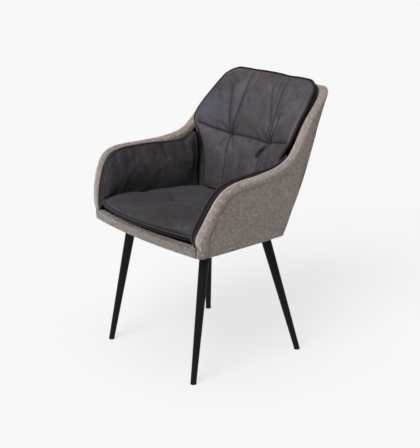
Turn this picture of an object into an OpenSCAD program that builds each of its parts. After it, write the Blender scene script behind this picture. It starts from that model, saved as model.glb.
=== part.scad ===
// Upholstered armchair for a dining table.  A bucket shell in woven fabric holds quilted
// dark pads, and stands on four tapered steel legs.
// The chair faces -Y, +Z is up, and the origin is on the floor under the middle of the chair.

/* [Overall] */
// Depth from the front of the cushion to the back of the shell
overall_d = 607; // [600:1:612]
// Height of the top of the back pad
overall_h = 862; // [858:1:866]
// Height of the shell's lower edge at its front corners
base_h = 412; // [408:1:416]
// Backward slope of the seat in degrees
seat_tilt = 3; // [2:0.5:4]

/* [Shell] */
// Half width of the shell at its lower front corners
front_half_w = 273; // [268:1:276]
// Half width of the shell at its lower rear corners
rear_half_w = 212; // [208:1:214]
// How far each side leans out, in mm for each mm of height
side_flare = 0.23; // [0.21:0.01:0.24]
// Outward belly of each side at arm height
arm_belly = 21; // [18:1:23]
// Height of the top edge of the shell
shell_top = 842; // [838:1:845]
// Radius of the rear vertical corners
corner_r = 30; // [26:1:34]
// Thickness of the arms of the shell
arm_th = 32; // [31:1:34]
// Thickness of the back of the shell
back_th = 38; // [37:1:40]
// Thickness of the bent plywood panels
ply_th = 9; // [8:0.5:9]
// Thickness of the woven fabric
fabric_th = 2; // [1.6:0.1:2]

/* [Seat] */
// Thickness of the plywood seat board
board_th = 15; // [14:1:16]
// Height of the seat cushion's piping at its front
cushion_pipe_h = 470; // [468:1:473]
// Rise of the cushion's crown above its piping
cushion_crown = 32; // [28:1:36]
// Thickness of the pad covers
leather_th = 1.5; // [1.2:0.1:1.6]
// Diameter of the piping
piping_d = 6; // [5:0.5:6.5]

/* [Legs] */
// Diameter of a leg at its top
leg_top_d = 32; // [30:1:33]
// Diameter of a leg at its foot
leg_foot_d = 18; // [17:1:19]
// Wall of the leg tube
leg_wall = 1.5; // [1.2:0.1:1.8]
// Foot of a front leg, from the middle of the chair: sideways
front_foot_x = 219; // [210:1:225]
// Foot of a front leg, from the middle of the chair: forward
front_foot_y = 256; // [250:1:262]
// Foot of a rear leg, from the middle of the chair: sideways
rear_foot_x = 228; // [220:1:234]
// Foot of a rear leg, from the middle of the chair: backward
rear_foot_y = 164; // [156:1:170]

/* [Hidden] */

fabric = [0.52, 0.49, 0.47];
leather = [0.24, 0.23, 0.24];
foam = [0.90, 0.86, 0.70];
plywood = [0.78, 0.62, 0.42];
black_steel = [0.06, 0.06, 0.06];
zinc = [0.72, 0.72, 0.74];

gap = 0.3;                             // clear space left between neighbouring layers
corner_y = -overall_d / 2 + 36;        // lower front corners of the shell
band_bow = 22;                         // how far the front band curves forward
rear_y = 125;                          // lower rear corners of the shell
top_rear_y = overall_d / 2 - 4.5;      // upper rear corners of the shell
tilt_slope = tan(seat_tilt);

// ---- helpers -------------------------------------------------------------------------

function lerp(a, b, t) = a + (b - a) * t;
function clamp(v, lo, hi) = min(max(v, lo), hi);
function ease(t) = let (u = clamp(t, 0, 1)) u * u * (3 - 2 * u);
function unit(v) = v / max(norm(v), 1e-9);
function flat(grid) = [for (row = grid) each row];

// Value of a smooth curve through hand-picked points (Catmull-Rom), for t from 0 to 1
function knot(p, i) = p[clamp(i, 0, len(p) - 1)];
function through(p, t) =
    let (s = clamp(t, 0, 1) * (len(p) - 1), i = min(floor(s), len(p) - 2), u = s - i,
         a = knot(p, i - 1), b = knot(p, i), c = knot(p, i + 1), d = knot(p, i + 2))
    0.5 * (2 * b + (c - a) * u + (2 * a - 5 * b + 4 * c - d) * u * u
           + (3 * b - a - 3 * c + d) * u * u * u);

// Straight-line value of a table of [key, value] rows
function table(rows, key) =
    key <= rows[0][0] ? rows[0][1] :
    key >= rows[len(rows) - 1][0] ? rows[len(rows) - 1][1] :
    [for (i = [1 : len(rows) - 1])
        if (key > rows[i - 1][0] && key <= rows[i][0])
            lerp(rows[i - 1][1], rows[i][1],
                 (key - rows[i - 1][0]) / (rows[i][0] - rows[i - 1][0]))][0];

// Polyline moved sideways by t in its own plane, to the left of its direction of travel
function inset(line, t) = [for (i = [0 : len(line) - 1])
    let (d = unit(line[min(i + 1, len(line) - 1)] - line[max(i - 1, 0)]))
    line[i] + t * [-d[1], d[0]]];

function quad(p, q, r, s) = [[p, q, r], [p, r, s]];

// Solid between two grids of points: a[i][j] is one face and b[i][j] the other.  From
// column turn on, the squares are split along their other diagonal.
module slab(a, b, turn = 99) {
    ni = len(a);
    nj = len(a[0]);
    n = ni * nj;
    function at(i, j) = i * nj + j;
    outer = [for (i = [0 : ni - 2], j = [0 : nj - 2])
        each j < turn ? quad(at(i, j), at(i, j + 1), at(i + 1, j + 1), at(i + 1, j)) :
                        quad(at(i, j + 1), at(i + 1, j + 1), at(i + 1, j), at(i, j))];
    inner = [for (f = outer) [f[0] + n, f[2] + n, f[1] + n]];
    ends = [for (j = [0 : nj - 2])
        each concat(quad(at(0, j + 1), at(0, j), at(0, j) + n, at(0, j + 1) + n),
                    quad(at(ni - 1, j + 1), at(ni - 1, j + 1) + n,
                         at(ni - 1, j) + n, at(ni - 1, j)))];
    edges = [for (i = [0 : ni - 2])
        each concat(quad(at(i, 0), at(i + 1, 0), at(i + 1, 0) + n, at(i, 0) + n),
                    quad(at(i + 1, nj - 1), at(i, nj - 1),
                         at(i, nj - 1) + n, at(i + 1, nj - 1) + n))];
    polyhedron(concat(flat(a), flat(b)), concat(outer, inner, ends, edges));
}

// Solid of closed rings stacked one on the next; the first and last rings are capped
module stack(rings) {
    n = len(rings[0]);
    last = (len(rings) - 1) * n;
    walls = [for (k = [0 : len(rings) - 2], i = [0 : n - 1])
        each quad(k * n + (i + 1) % n, k * n + i,
                  (k + 1) * n + i, (k + 1) * n + (i + 1) % n)];
    caps = [for (i = [1 : n - 2]) each [[0, i, i + 1], [last, last + i + 1, last + i]]];
    polyhedron(flat(rings), concat(walls, caps));
}

// Solid between two stacks of rings that share their open end: a domed cover
module dome(outer, inner) {
    n = len(outer[0]);
    m = len(outer) * n;
    top = m - n;
    walls = [for (k = [0 : len(outer) - 2], i = [0 : n - 1])
        each quad(k * n + (i + 1) % n, k * n + i,
                  (k + 1) * n + i, (k + 1) * n + (i + 1) % n)];
    caps = [for (i = [1 : n - 2]) [top, top + i + 1, top + i]];
    skin = concat(walls, caps);
    lining = [for (f = skin) [f[0] + m, f[2] + m, f[1] + m]];
    rim = [for (i = [0 : n - 1]) each quad(i, (i + 1) % n, (i + 1) % n + m, i + m)];
    polyhedron(concat(flat(outer), flat(inner)), concat(skin, lining, rim));
}

// Six-sided tube of diameter d along a path; a closed path joins its last point to its first
module tube(path, d, closed = false) {
    n = len(path);
    sides = 6;
    segments = closed ? n : n - 1;
    function prev(i) = closed ? (i + n - 1) % n : max(i - 1, 0);
    function next(i) = closed ? (i + 1) % n : min(i + 1, n - 1);
    pts = [for (i = [0 : n - 1])
        let (t = unit(path[next(i)] - path[prev(i)]),
             a = unit(cross(t, [0.3, 0.2, 0.93])), b = cross(t, a))
        for (k = [0 : sides - 1])
            path[i] + d / 2 * (cos(360 * k / sides) * a + sin(360 * k / sides) * b)];
    walls = [for (i = [0 : segments - 1], k = [0 : sides - 1])
        each quad(i * sides + k, next(i) * sides + k,
                  next(i) * sides + (k + 1) % sides, i * sides + (k + 1) % sides)];
    caps = closed ? [] : [[for (k = [0 : sides - 1]) k],
                          [for (k = [0 : sides - 1]) n * sides - 1 - k]];
    polyhedron(pts, concat(walls, caps));
}

// Points around a rounded rectangle that fills the square from -1 to 1
function round_rect(rx, ry, m) = [for (k = [0 : 3])
    let (sx = [1, -1, -1, 1][k], sy = [1, 1, -1, -1][k],
         arc = [for (a = [0 : 30 : 90])
             [sx * (1 - rx) + rx * cos(90 * k + a), sy * (1 - ry) + ry * sin(90 * k + a)]],
         tx = [-1, -1, 1, 1][k] * (k % 2 == 0 ? 1 - rx : 1),
         ty = [1, -1, -1, 1][k] * (k % 2 == 0 ? 1 : 1 - ry))
    each concat(arc, [for (j = [1 : m]) lerp(arc[3], [tx, ty], j / (m + 1))])];

// ---- the shell's outer surface -------------------------------------------------------

function base_z(y) = base_h - tilt_slope * (y - corner_y);
rear_base_h = base_z(rear_y);
arm_top_h = 640;                       // height where the sides stop widening

function rise(z) = (z - rear_base_h) / (shell_top - rear_base_h);
function back_y(z) = let (s = rise(z)) rear_y + 60 * s + (top_rear_y - rear_y - 60) * pow(max(s, 0), 2.4);
function rear_half(z) = let (s = rise(z)) rear_half_w + 150 * s - 137 * s * s;
function front_half(z) = front_half_w + side_flare * (min(z, arm_top_h) - base_h);
function belly(z) = lerp(4, arm_belly, (min(z, arm_top_h) - base_h) / (arm_top_h - base_h));
function bow(z) = table([[rear_base_h, 25], [450, 40], [700, 40], [shell_top, 12]], z);
function front_round(y) = let (q = max(0, corner_y + 18 - y)) 14 * pow(q / 27, 2);

function side_x(y, z) =
    let (u = (y - corner_y) / (back_y(z) - corner_r - corner_y))
    lerp(front_half(z), rear_half(z), u) + belly(z) * 4 * u * (1 - u) - front_round(y);

// A station c runs round the right half of the shell: 0 to 1 is the side from front to back,
// 1 to 2 the rear corner, and 2 to 3 the back from the corner to its middle.
// Point of the shell at station c, height z and depth o below the fabric; y is for the side.
min_r = 3;
function shell_point(c, y, z, o) =
    c < 1 ? [side_x(y, z) - o, y, z] :
    let (ro = max(corner_r - o, min_r),
         cx = rear_half(z) - max(corner_r, o + min_r),
         cy = back_y(z) - max(corner_r, o + min_r),
         sweep = 90 - atan(2 * bow(z) / (rear_half(z) - corner_r / 2)),
         f = sweep * min(c - 1, 1), v = 3 - c)
    c <= 2 ? [cx + ro * cos(f), cy + ro * sin(f), z] :
    [(cx + ro * cos(sweep)) * v, cy + ro * sin(sweep) + bow(z) * (1 - v * v), z];

// The rim seen from the side as [y, z], from the front corner up to the rear corner
rim = [[corner_y, 440], [-275, 475], [-252, 545], [-217, 604], [-165, 628], [-65, 634],
       [15, 641], [80, 660], [122, 698], [172, 757], [back_y(818) - corner_r, 818]];

// Column of the shell at station c: [foot y, foot z, rim y, rim z]
function column(c) =
    c < 1 ? let (y = lerp(corner_y, rear_y - corner_r, 1 - pow(1 - c, 1.25)),
                 r = through(rim, c)) [y, base_z(y), r[0], r[1]] :
    let (out = c < 2 ? 0 : bow(rear_base_h) * (1 - pow(3 - c, 2)))
    [0, base_z(rear_y + out), 0, lerp(818, shell_top, sin(90 * min(c - 1, 1)))];
function column_len(c) = let (q = column(c)) norm([q[0] - q[2], q[1] - q[3]]);

// Point at station c, d below the rim along the column and o below the fabric
function skin(c, d, o) = let (q = column(c), t = d / column_len(c))
    shell_point(c, lerp(q[2], q[0], t), lerp(q[3], q[1], t), o);

function shell_th(c) = c < 1 ? lerp(24, arm_th, ease(c / 0.2)) :
                               lerp(arm_th, back_th, ease(c - 1));
function ply_out(c) = (shell_th(c) - ply_th) / 2;
ply_drop = 12;                         // the panels' top edge below the rim
foot_gap = 3.5;                        // the dust cover tucks in under the foam
foam_leg = 60;                         // the inside foam stops this far above the shell's foot

side_stations = [0, 0.06, 0.12, 0.16, 0.2, 0.28, 0.36, 0.46, 0.58, 0.7, 0.8, 0.9, 1, 1.33, 1.67, 2];
back_stations = [2, 2.2, 2.4, 2.6, 2.8, 3];

// Stations of the back from the right corner across to the left one, as [c, side]
back_run = concat([for (c = back_stations) [c, 1]],
                  [for (i = [len(back_stations) - 2 : -1 : 0]) [back_stations[i], -1]]);
side_run = [for (c = side_stations) [c, 1]];
function mirrored(p, s) = [p[0] * s, p[1], p[2]];

// Depths of the rows of points up a column: its foot, then from where the inside foam
// stops to the end of the fabric that is turned in behind the rim
wall_rows = 5;
roll_mid = wall_rows + 4;              // column of a layer's grid at the top of the rolled rim
function wall(c, foot) =
    let (l = column_len(c), r = shell_th(c) / 2, fold = min(r + fold_in, lerp(r, l, 0.4)),
         knee = max(l - foam_leg, lerp(fold, l, 0.5)))
    concat([l - foot], [for (t = [0 : wall_rows - 1]) lerp(knee, fold, t / (wall_rows - 1))]);

// Section of a layer as [d, o] pairs: up the outside, over the rolled rim, down the inside
function layer(c, depth, foot, down) =
    let (r = shell_th(c) / 2)
    concat([for (d = wall(c, foot)) [d, depth]],
           [for (a = [0 : 30 : 180]) [r - (r - depth) * sin(a), r - (r - depth) * cos(a)]],
           [for (d = down) [d, 2 * r - depth]]);

// Section of the slot that the plywood panel fills, with as many points as a layer
function slot(c, foot, down) =
    let (r = shell_th(c) / 2, a = ply_out(c) - 2 * gap, b = 2 * r - a,
         top = ply_drop - 2 * gap)
    concat([for (d = wall(c, foot)) [d, a]],
           [for (k = [0 : 6]) [top, lerp(a, b, k / 6)]],
           [for (d = down) [d, b]]);

function grid(run, section) = [for (i = [0 : len(run) - 1])
    [for (p = section[i]) mirrored(skin(run[i][0], p[0], p[1]), run[i][1])]];

fold_in = 25;                          // length of fabric turned in behind the rim

module shell_cover(run) {
    function fold(c) = [wall(c, 0)[wall_rows]];
    slab(grid(run, [for (s = run) layer(s[0], 0, 0, fold(s[0]))]),
         grid(run, [for (s = run) layer(s[0], fabric_th, 0, fold(s[0]))]), roll_mid);
}

module shell_foam(run) {
    function leg_of(c) = let (w = wall(c, foot_gap)) [for (k = [wall_rows : -1 : 1]) w[k]];
    slab(grid(run, [for (s = run) layer(s[0], fabric_th + 2 * gap, foot_gap, leg_of(s[0]))]),
         grid(run, [for (s = run) slot(s[0], foot_gap, leg_of(s[0]))]), roll_mid);
}

module ply_panel(run) {
    function rows(c) = concat(wall(c, foot_gap), [ply_drop]);
    module sheet() {
        slab(grid(run, [for (s = run) [for (d = rows(s[0])) [d, ply_out(s[0])]]]),
             grid(run, [for (s = run) [for (d = rows(s[0])) [d, ply_out(s[0]) + ply_th]]]));
    }
    difference() {
        sheet();
        for (s = bracket_stations) at_bracket(s) panel_screws(screw_d);
    }
}

module left_shell_cover() { color(fabric) mirror([1, 0, 0]) shell_cover(side_run); }
module right_shell_cover() { color(fabric) shell_cover(side_run); }
module back_shell_cover() { color(fabric) shell_cover(back_run); }
module left_shell_foam() { color(foam) mirror([1, 0, 0]) shell_foam(side_run); }
module right_shell_foam() { color(foam) shell_foam(side_run); }
module back_shell_foam() { color(foam) shell_foam(back_run); }
ply_side_run = [for (s = side_run) if (s[0] > 0.05 && s[0] < 1.9) s];
ply_back_run = [for (i = [1 : len(back_run) - 2]) back_run[i]];
module left_arm_panel() { color(plywood) mirror([1, 0, 0]) ply_panel(ply_side_run); }
module right_arm_panel() { color(plywood) ply_panel(ply_side_run); }
module back_panel() { color(plywood) ply_panel(ply_back_run); }

// ---- the seat base -------------------------------------------------------------------

// The base's own frame: its origin is at the middle of the shell's lower front edge
module on_base() { translate([0, corner_y, base_h]) rotate([-seat_tilt, 0, 0]) children(); }
function base_xy(p) = [p[0], (p[1] - corner_y) / cos(seat_tilt)];

cloth_z = 0.3;                         // underside of the dust cover
cloth_th = 1;
board_z = cloth_z + cloth_th + gap;    // underside of the seat board
board_top = board_z + board_th;
board_r = [0.05, 0.2, 0.4, 0.6, 0.8, 1, 1.5, 2, 2.35, 2.7];

// Front band: y of its outer face, and its thickness, which is only a skin at the corners
band_th = 24;
band_top = 35;
band_half = 236;
board_in = 8.5;                        // the board and the rail start this far behind the band
rail_th = 10;
function band_y(x) = corner_y - 5 - (band_bow - 2) * (1 - pow(x / 262, 2));
function foot_y(c) = column(c)[0];
function edge(c, o) = base_xy(shell_point(c, foot_y(c), column(c)[1], o));
function half_outline(extra, inside) = [for (c = board_r)
    edge(c, !inside ? extra : extra + (c < 0.25 ? shell_th(c) + 1 : ply_out(c) + ply_th))];
function both_sides(half) = concat(half, [for (i = [len(half) - 1 : -1 : 0])
    [-half[i][0], half[i][1]]]);
function front_edge(half_w, depth) = [for (x = [-half_w : half_w / 5 : half_w])
    [x, band_y(x) + depth - corner_y]];

module base_outline() { polygon(concat(both_sides(half_outline(gap, true)),
                                       front_edge(band_half, board_in))); }

// Each leg's plate: [x, y] of its middle, in the base's frame, and of the leg's top on it
plate = [74, 60, 4];
plate_holes = [for (x = [-30, 30], y = [-20, 20]) [x, y]];
bolt_d = 6;
bolt_len = 15;                         // above the plate
bolt_head_d = 11;
bolt_head_h = 3;
tee_barrel_d = 7.8;
tee_barrel_len = 10.5;
tee_sunk = 10;                         // the barrel's length inside the board
tee_flange_d = 19;
tee_flange_h = 1.2;
hole_clear = 0.6;
front_plate = [185, 86];
rear_plate = [132, 346];
front_leg_top = [187, 84];
rear_leg_top = [140, 360];
legs = [[-1, 0], [1, 0], [-1, 1], [1, 1]];       // [side, 0 at the front or 1 at the rear]
function plate_at(leg) = leg[1] == 0 ? [leg[0] * front_plate[0], front_plate[1]] :
                                       [leg[0] * rear_plate[0], rear_plate[1]];
function top_at(leg) = leg[1] == 0 ? [leg[0] * front_leg_top[0], front_leg_top[1]] :
                                     [leg[0] * rear_leg_top[0], rear_leg_top[1]];
function foot_at(leg) = leg[1] == 0 ? [leg[0] * front_foot_x, -front_foot_y] :
                                      [leg[0] * rear_foot_x, rear_foot_y];

module at_bolts() {
    for (leg = legs, h = plate_holes) translate(concat(plate_at(leg) + h, [0])) children();
}

// Brackets join the panels to the board.  A station is [c, side]; each bracket's frame has
// X along the panel and Y into the seat, with its origin on the board's top.
bracket_stations = [[0.35, 1], [0.78, 1], [0.35, -1], [0.78, -1], [2.75, 1], [2.75, -1]];
bracket = [36, 18, 26];
bracket_th = 2.5;
bracket_clear = 6;                     // room for the lean of the panel behind a bracket
screw_d = 3.5;
screw_head_d = 6.5;
screw_head_h = 1.5;
screw_x = 11;                          // half the spacing of a bracket's screws
screw_y = 11;                          // the board's screws from the bracket's upright side
board_screw_len = 10;                  // into the board
panel_screw_len = 13;
panel_screw_z = 16;
module at_bracket(s) {
    inner = ply_out(s[0]) + ply_th + bracket_clear;
    function place(c) = base_xy(skin(c, column_len(c) - board_top - panel_screw_z / 2, inner));
    here = place(s[0]);
    ahead = place(s[0] + 0.05);
    mirror([s[1] > 0 ? 0 : 1, 0, 0]) on_base() translate([here[0], here[1], board_top])
        rotate([0, 0, atan2(ahead[1] - here[1], ahead[0] - here[0])]) children();
}
module board_screws(d) {
    for (x = [-screw_x, screw_x]) translate([x, screw_y, -board_screw_len])
        cylinder(d = d, h = board_screw_len + bracket_th, $fn = 24);
}
module panel_screws(d) {
    for (x = [-screw_x, screw_x]) translate([x, bracket_th, panel_screw_z])
        rotate([90, 0, 0]) cylinder(d = d, h = panel_screw_len, $fn = 24);
}

module seat_board() {
    color(plywood) difference() {
        on_base() difference() {
            translate([0, 0, board_z]) linear_extrude(board_th) base_outline();
            at_bolts() cylinder(d = tee_barrel_d + hole_clear, h = 60, center = true, $fn = 32);
        }
        for (s = bracket_stations) at_bracket(s) board_screws(screw_d + 0.2);
    }
}

module panel_brackets() {
    color(zinc) for (s = bracket_stations) at_bracket(s) difference() {
        union() {
            translate([-bracket[0] / 2, 0, 0]) cube([bracket[0], bracket[1], bracket_th]);
            translate([-bracket[0] / 2, 0, 0]) cube([bracket[0], bracket_th, bracket[2]]);
        }
        translate([0, 0, -1]) board_screws(screw_d + 0.4);
        translate([0, 0, 1]) board_screws(screw_d + 0.4);
        translate([0, 1, 0]) panel_screws(screw_d + 0.4);
    }
}

module bracket_screws() {
    color(zinc) for (s = bracket_stations) at_bracket(s) {
        board_screws(screw_d);
        panel_screws(screw_d);
        for (x = [-screw_x, screw_x]) {
            translate([x, screw_y, bracket_th])
                cylinder(d = screw_head_d, h = screw_head_h, $fn = 24);
            translate([x, bracket_th, panel_screw_z]) rotate([-90, 0, 0])
                cylinder(d = screw_head_d, h = screw_head_h, $fn = 24);
        }
    }
}

rail_back = let (e = front_edge(band_half - 1, board_in + rail_th)) [for (i = [len(e) - 1 : -1 : 0]) e[i]];
rail_h = 12;
module front_rail() {
    color(plywood) on_base() translate([0, 0, board_top]) linear_extrude(rail_h)
        polygon(concat(front_edge(band_half - 1, board_in), rail_back));
}

// The front band's section as [z, depth] pairs, like a layer of the shell
function band_layer(th, depth, foot, tail) = let (r = th / 2, top = band_top - min(r, 8))
    concat([for (t = [0 : 2]) [lerp(foot, top, t / 3), depth]],
           [for (a = [0 : 30 : 180]) [top + (min(r, 8) - depth) * sin(a),
                                      r - (r - depth) * cos(a)]],
           [[top - tail, th - depth]]);
corner_skin = 4.6;
band_run = concat([for (x = [-257, -248, -band_half - 2]) [x, corner_skin]],
                  [for (x = [-band_half : band_half / 4 : band_half]) [x, band_th]],
                  [for (x = [band_half + 2, 248, 257]) [x, corner_skin]]);
function band_grid(run, depth, foot, tail) = [for (s = run)
    [for (p = band_layer(s[1], depth, foot, tail))
        [s[0], band_y(s[0]) + p[1], base_z(band_y(s[0]) + p[1]) + p[0]]]];
wide_run = [for (s = band_run) if (s[1] == band_th) s];

module front_band_cover() {
    color(fabric) slab(band_grid(band_run, 0, 0, 4), band_grid(band_run, fabric_th, 0, 4));
}

// The foam strip in front of the rail and over its top
module front_band_foam() {
    strip = fabric_th + gap;
    function under(s, p) = [s[0], band_y(s[0]) + p[1], base_z(band_y(s[0]) + p[1]) + p[0]];
    rail_top = board_top + rail_h + gap;
    color(foam) slab(
        [for (s = wide_run) [for (p = concat([[foot_gap, strip]],
            [for (a = [0 : 30 : 120]) [band_top - 8 + (8 - strip) * sin(a),
                                       band_th / 2 - (band_th / 2 - strip) * cos(a)]]))
            under(s, p)]],
        [for (s = wide_run) [for (p = concat([[foot_gap, 8], [rail_top, 8]],
            [for (k = [1 : 4]) [rail_top, lerp(8, 16.8, k / 4)]])) under(s, p)]]);
}

module dust_cover() {
    color(black_steel) on_base() difference() {
        translate([0, 0, cloth_z]) linear_extrude(cloth_th)
            polygon(concat(both_sides(half_outline(fabric_th + 2, false)),
                           front_edge(band_half, fabric_th + 2)));
        at_bolts() cylinder(d = bolt_d + 1, h = 20, center = true, $fn = 24);
    }
}

// Staples lie along the dust cover's edge, in from the fabric by staple_in
staple = [10, 0.8, cloth_z];
staple_in = 12;
module dust_cover_staples() {
    sides = [for (c = [0.1 : 0.13 : 1]) edge(c, staple_in)];
    rear = [for (c = [2 : 0.25 : 3]) edge(c, staple_in)];
    front = [for (x = [0 : 45 : 225]) [x, band_y(x) + staple_in - corner_y]];
    color(zinc) on_base() for (line = [sides, rear, front], i = [0 : len(line) - 1]) {
        a = line[max(i - 1, 0)];
        b = line[min(i + 1, len(line) - 1)];
        for (m = line[i][0] < 1 ? [0] : [0, 1]) mirror([m, 0, 0])
            translate([line[i][0], line[i][1], 0])
            rotate([0, 0, line[i][0] < 1 ? 0 : atan2(b[1] - a[1], b[0] - a[0])])
            translate([-staple[0] / 2, -staple[1] / 2, 0]) cube(staple);
    }
}

// ---- legs ----------------------------------------------------------------------------

glide_h = 4;

// Point of a leg's axis on its plate, in the chair's frame
function in_world(p) = [p[0], corner_y + p[1] * cos(seat_tilt) + p[2] * sin(seat_tilt),
                        base_h - p[1] * sin(seat_tilt) + p[2] * cos(seat_tilt)];
function leg_top(leg) = in_world(concat(top_at(leg), [-plate[2]]));
function leg_foot(leg) = concat(foot_at(leg), [glide_h]);

// Where the line from p to q meets the plane through o with normal n
function cut(p, q, o, n) = p + (q - p) * (((o - p) * n) / ((q - p) * n));

// Ring round the leg's axis, of radius r0 at its foot and r1 at its top, on a plane
leg_sides = 36;
function leg_ring(leg, r0, r1, o, n) =
    let (a = leg_foot(leg), b = leg_top(leg), t = unit(b - a), u = unit(cross([0, 0, 1], t)))
    [for (k = [0 : leg_sides - 1])
        let (f = 360 * k / leg_sides, e = cos(f) * u + sin(f) * cross(t, u))
        cut(a + r0 * e, b + r1 * e, o, n)];

module leg_plate(leg) {
    color(black_steel) on_base() translate(concat(plate_at(leg), [-plate[2]])) difference() {
        translate([-plate[0] / 2, -plate[1] / 2, 0]) cube(plate);
        for (h = plate_holes) translate(concat(h, [-1]))
            cylinder(d = bolt_d + hole_clear, h = plate[2] + 2, $fn = 24);
    }
}

// A tapered tube from its foot to its plate, cut level at the foot and flush at the plate
module leg(leg) {
    foot = [[0, 0, glide_h], [0, 0, 1]];
    top = [in_world([0, 0, -plate[2]]), [0, sin(seat_tilt), cos(seat_tilt)]];
    function ring(shrink, plane) = leg_ring(leg, leg_foot_d / 2 - shrink,
                                            leg_top_d / 2 - shrink, plane[0], plane[1]);
    rings = [ring(0, foot), ring(0, top), ring(leg_wall, top), ring(leg_wall, foot)];
    n = leg_sides;
    walls = [for (k = [0 : 3], i = [0 : n - 1])
        each quad(k * n + (i + 1) % n, k * n + i,
                  (k + 1) % 4 * n + i, (k + 1) % 4 * n + (i + 1) % n)];
    color(black_steel) polyhedron(flat(rings), walls);
}

// A plastic foot: a rounded pad on the floor with a plug up into the tube
plug_len = 16;
glide_lip = 0.6;                       // how far the pad stands out round the tube
glide_round = 1.5;
module foot_glide(leg) {
    a = leg_foot(leg);
    r = leg_foot_d / 2 + glide_lip;
    plug_r = leg_foot_d / 2 - leg_wall - gap;
    function disc(radius, z) = [for (k = [0 : leg_sides - 1])
        let (u = unit(cross([0, 0, 1], leg_top(leg) - a)), f = 360 * k / leg_sides)
        [a[0], a[1], z] + radius * (cos(f) * u + sin(f) * cross([0, 0, 1], u))];
    color(black_steel) stack(concat(
        [for (t = [0 : 30 : 90])
            disc(r - glide_round * (1 - sin(t)), glide_round * (1 - cos(t)))],
        [disc(r, glide_h)],
        [for (z = [glide_h, glide_h + plug_len])
            leg_ring(leg, plug_r, plug_r, [0, 0, z], [0, 0, 1])]));
}

module leg_bolts() {
    color(zinc) on_base() at_bolts() {
        translate([0, 0, -plate[2] - bolt_head_h])
            cylinder(d = bolt_head_d, h = bolt_head_h, $fn = 6);
        translate([0, 0, -plate[2]]) cylinder(d = bolt_d, h = plate[2] + bolt_len, $fn = 24);
    }
}

module tee_nuts() {
    color(zinc) on_base() at_bolts() difference() {
        union() {
            translate([0, 0, board_top]) cylinder(d = tee_flange_d, h = tee_flange_h, $fn = 32);
            translate([0, 0, board_top - tee_sunk])
                cylinder(d = tee_barrel_d, h = tee_barrel_len, $fn = 32);
        }
        translate([0, 0, board_top - tee_sunk - 1]) cylinder(d = bolt_d + 0.3, h = 20, $fn = 24);
    }
}

// ---- seat cushion --------------------------------------------------------------------

pipe_z = cushion_pipe_h - base_h;
seat_len = 365;
seat_bow = 33;
cushion_ring = round_rect(0.08, 0.08, 4);
function seat_half(y) = table([[0, 238], [25, 227], [60, 222], [160, 212], [260, 197], [365, 180]], y);

// One ring of the cushion: its scale in plan, its height, and the least y that it keeps
function seat_ring(q, z, least) = [for (p = cushion_ring)
    let (y0 = seat_len / 2 * (1 + p[1]), w = seat_half(y0),
         y1 = y0 - (p[1] < 0 ? -p[1] * seat_bow * (1 - p[0] * p[0]) : 0),
         y = seat_len / 2 + (y1 - seat_len / 2) * q)
    in_world([w * p[0] * q, max(y, least), z])];
seat_rings = [[1, pipe_z], [0.985, pipe_z + 11], [0.94, pipe_z + 21],
              [0.8, pipe_z + 29], [0.45, pipe_z + cushion_crown]];
low_rings = [[0.9, 22, 5], [0.93, band_top + 1.5, 5], [0.985, band_top + 5, -100]];
function cushion(s) = let (k = s / 200) concat(
    [for (r = low_rings) seat_ring(r[0] - k, r[1], r[2] + s)],
    [for (r = seat_rings) seat_ring(r[0] - k, r[1] - s, -100)]);

module seat_cover() { color(leather) dome(cushion(0), cushion(leather_th)); }
module seat_foam() { color(foam) stack(cushion(leather_th + gap)); }
module seat_piping() {
    color(leather) tube(seat_ring(1 + (piping_d / 2 + gap) / 190, pipe_z - 1, -100),
                        piping_d, true);
}

// ---- back pad ------------------------------------------------------------------------

// Half width of the pad, how far its sides come forward, and its middle's y, by height
pad_half = [[472, 172], [520, 181], [600, 196], [640, 205], [665, 216], [690, 230],
            [720, 235], [750, 235], [782, 232], [816, 224], [842, 213], [862, 188]];
pad_wrap = [[472, 4], [520, 10], [600, 26], [660, 46], [700, 62], [750, 58],
            [782, 48], [820, 34], [862, 14]];
pad_mid = [[472, 88], [560, 119], [662, 155], [702, 170], [750, 195], [782, 215],
           [820, 239], [862, 268]];
pad_bottom = 482;
pad_top = overall_h - piping_d;
pad_z = (pad_bottom + pad_top) / 2;
pad_ring = round_rect(0.16, 0.16, 4);
function pad_front(x, z) = table(pad_mid, z)
    - table(pad_wrap, z) * pow(abs(x) / table(pad_half, z), 2.2);
function shell_front(x, z) = back_y(min(z, shell_top)) - back_th
    + bow(min(z, shell_top)) * (1 - pow(x / 215, 2));

// One ring of the pad: its scale, how far it stands behind the front face, or, where
// rear is true, its distance in front of the shell
function back_ring(q, depth, rear = false) = [for (p = pad_ring)
    let (z = pad_z + (pad_top - pad_bottom) / 2 * p[1] * q,
         x = table(pad_half, z) * p[0] * q)
    [x, rear ? shell_front(x, z) - depth : pad_front(x, z) + depth, z]];
function back_shape(s) = let (k = s / 190) [
    back_ring(1 - k, 16), back_ring(1 - k, s), back_ring(0.965 - k, s - 8),
    back_ring(0.87 - k, s - 14), back_ring(0.62 - k, s - 16), back_ring(0.3, s - 16)];

module back_pad_cover() {
    color(leather) dome(back_shape(0), back_shape(leather_th));
}
module back_pad_foam() {
    s = leather_th + gap;
    color(foam) stack(concat([back_ring(0.3, 6, true), back_ring(0.72, 6, true)],
                             back_shape(s)));
}
module back_pad_piping() {
    color(leather) tube(back_ring(1 + (piping_d / 2 + gap) / 190, 2), piping_d, true);
}

// ---- arm pads ------------------------------------------------------------------------

arm_stations = [0.13, 0.16, 0.2, 0.28, 0.36, 0.46, 0.58, 0.7, 0.74];
pad_foot = 46;                         // the arm pads start this far above the shell's foot
function pad_len(c) = let (q = column(c)) column_len(c) * (1 - pad_foot / (q[3] - q[1]));
function swell(c) = ease((c - 0.02) / 0.16);

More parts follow.
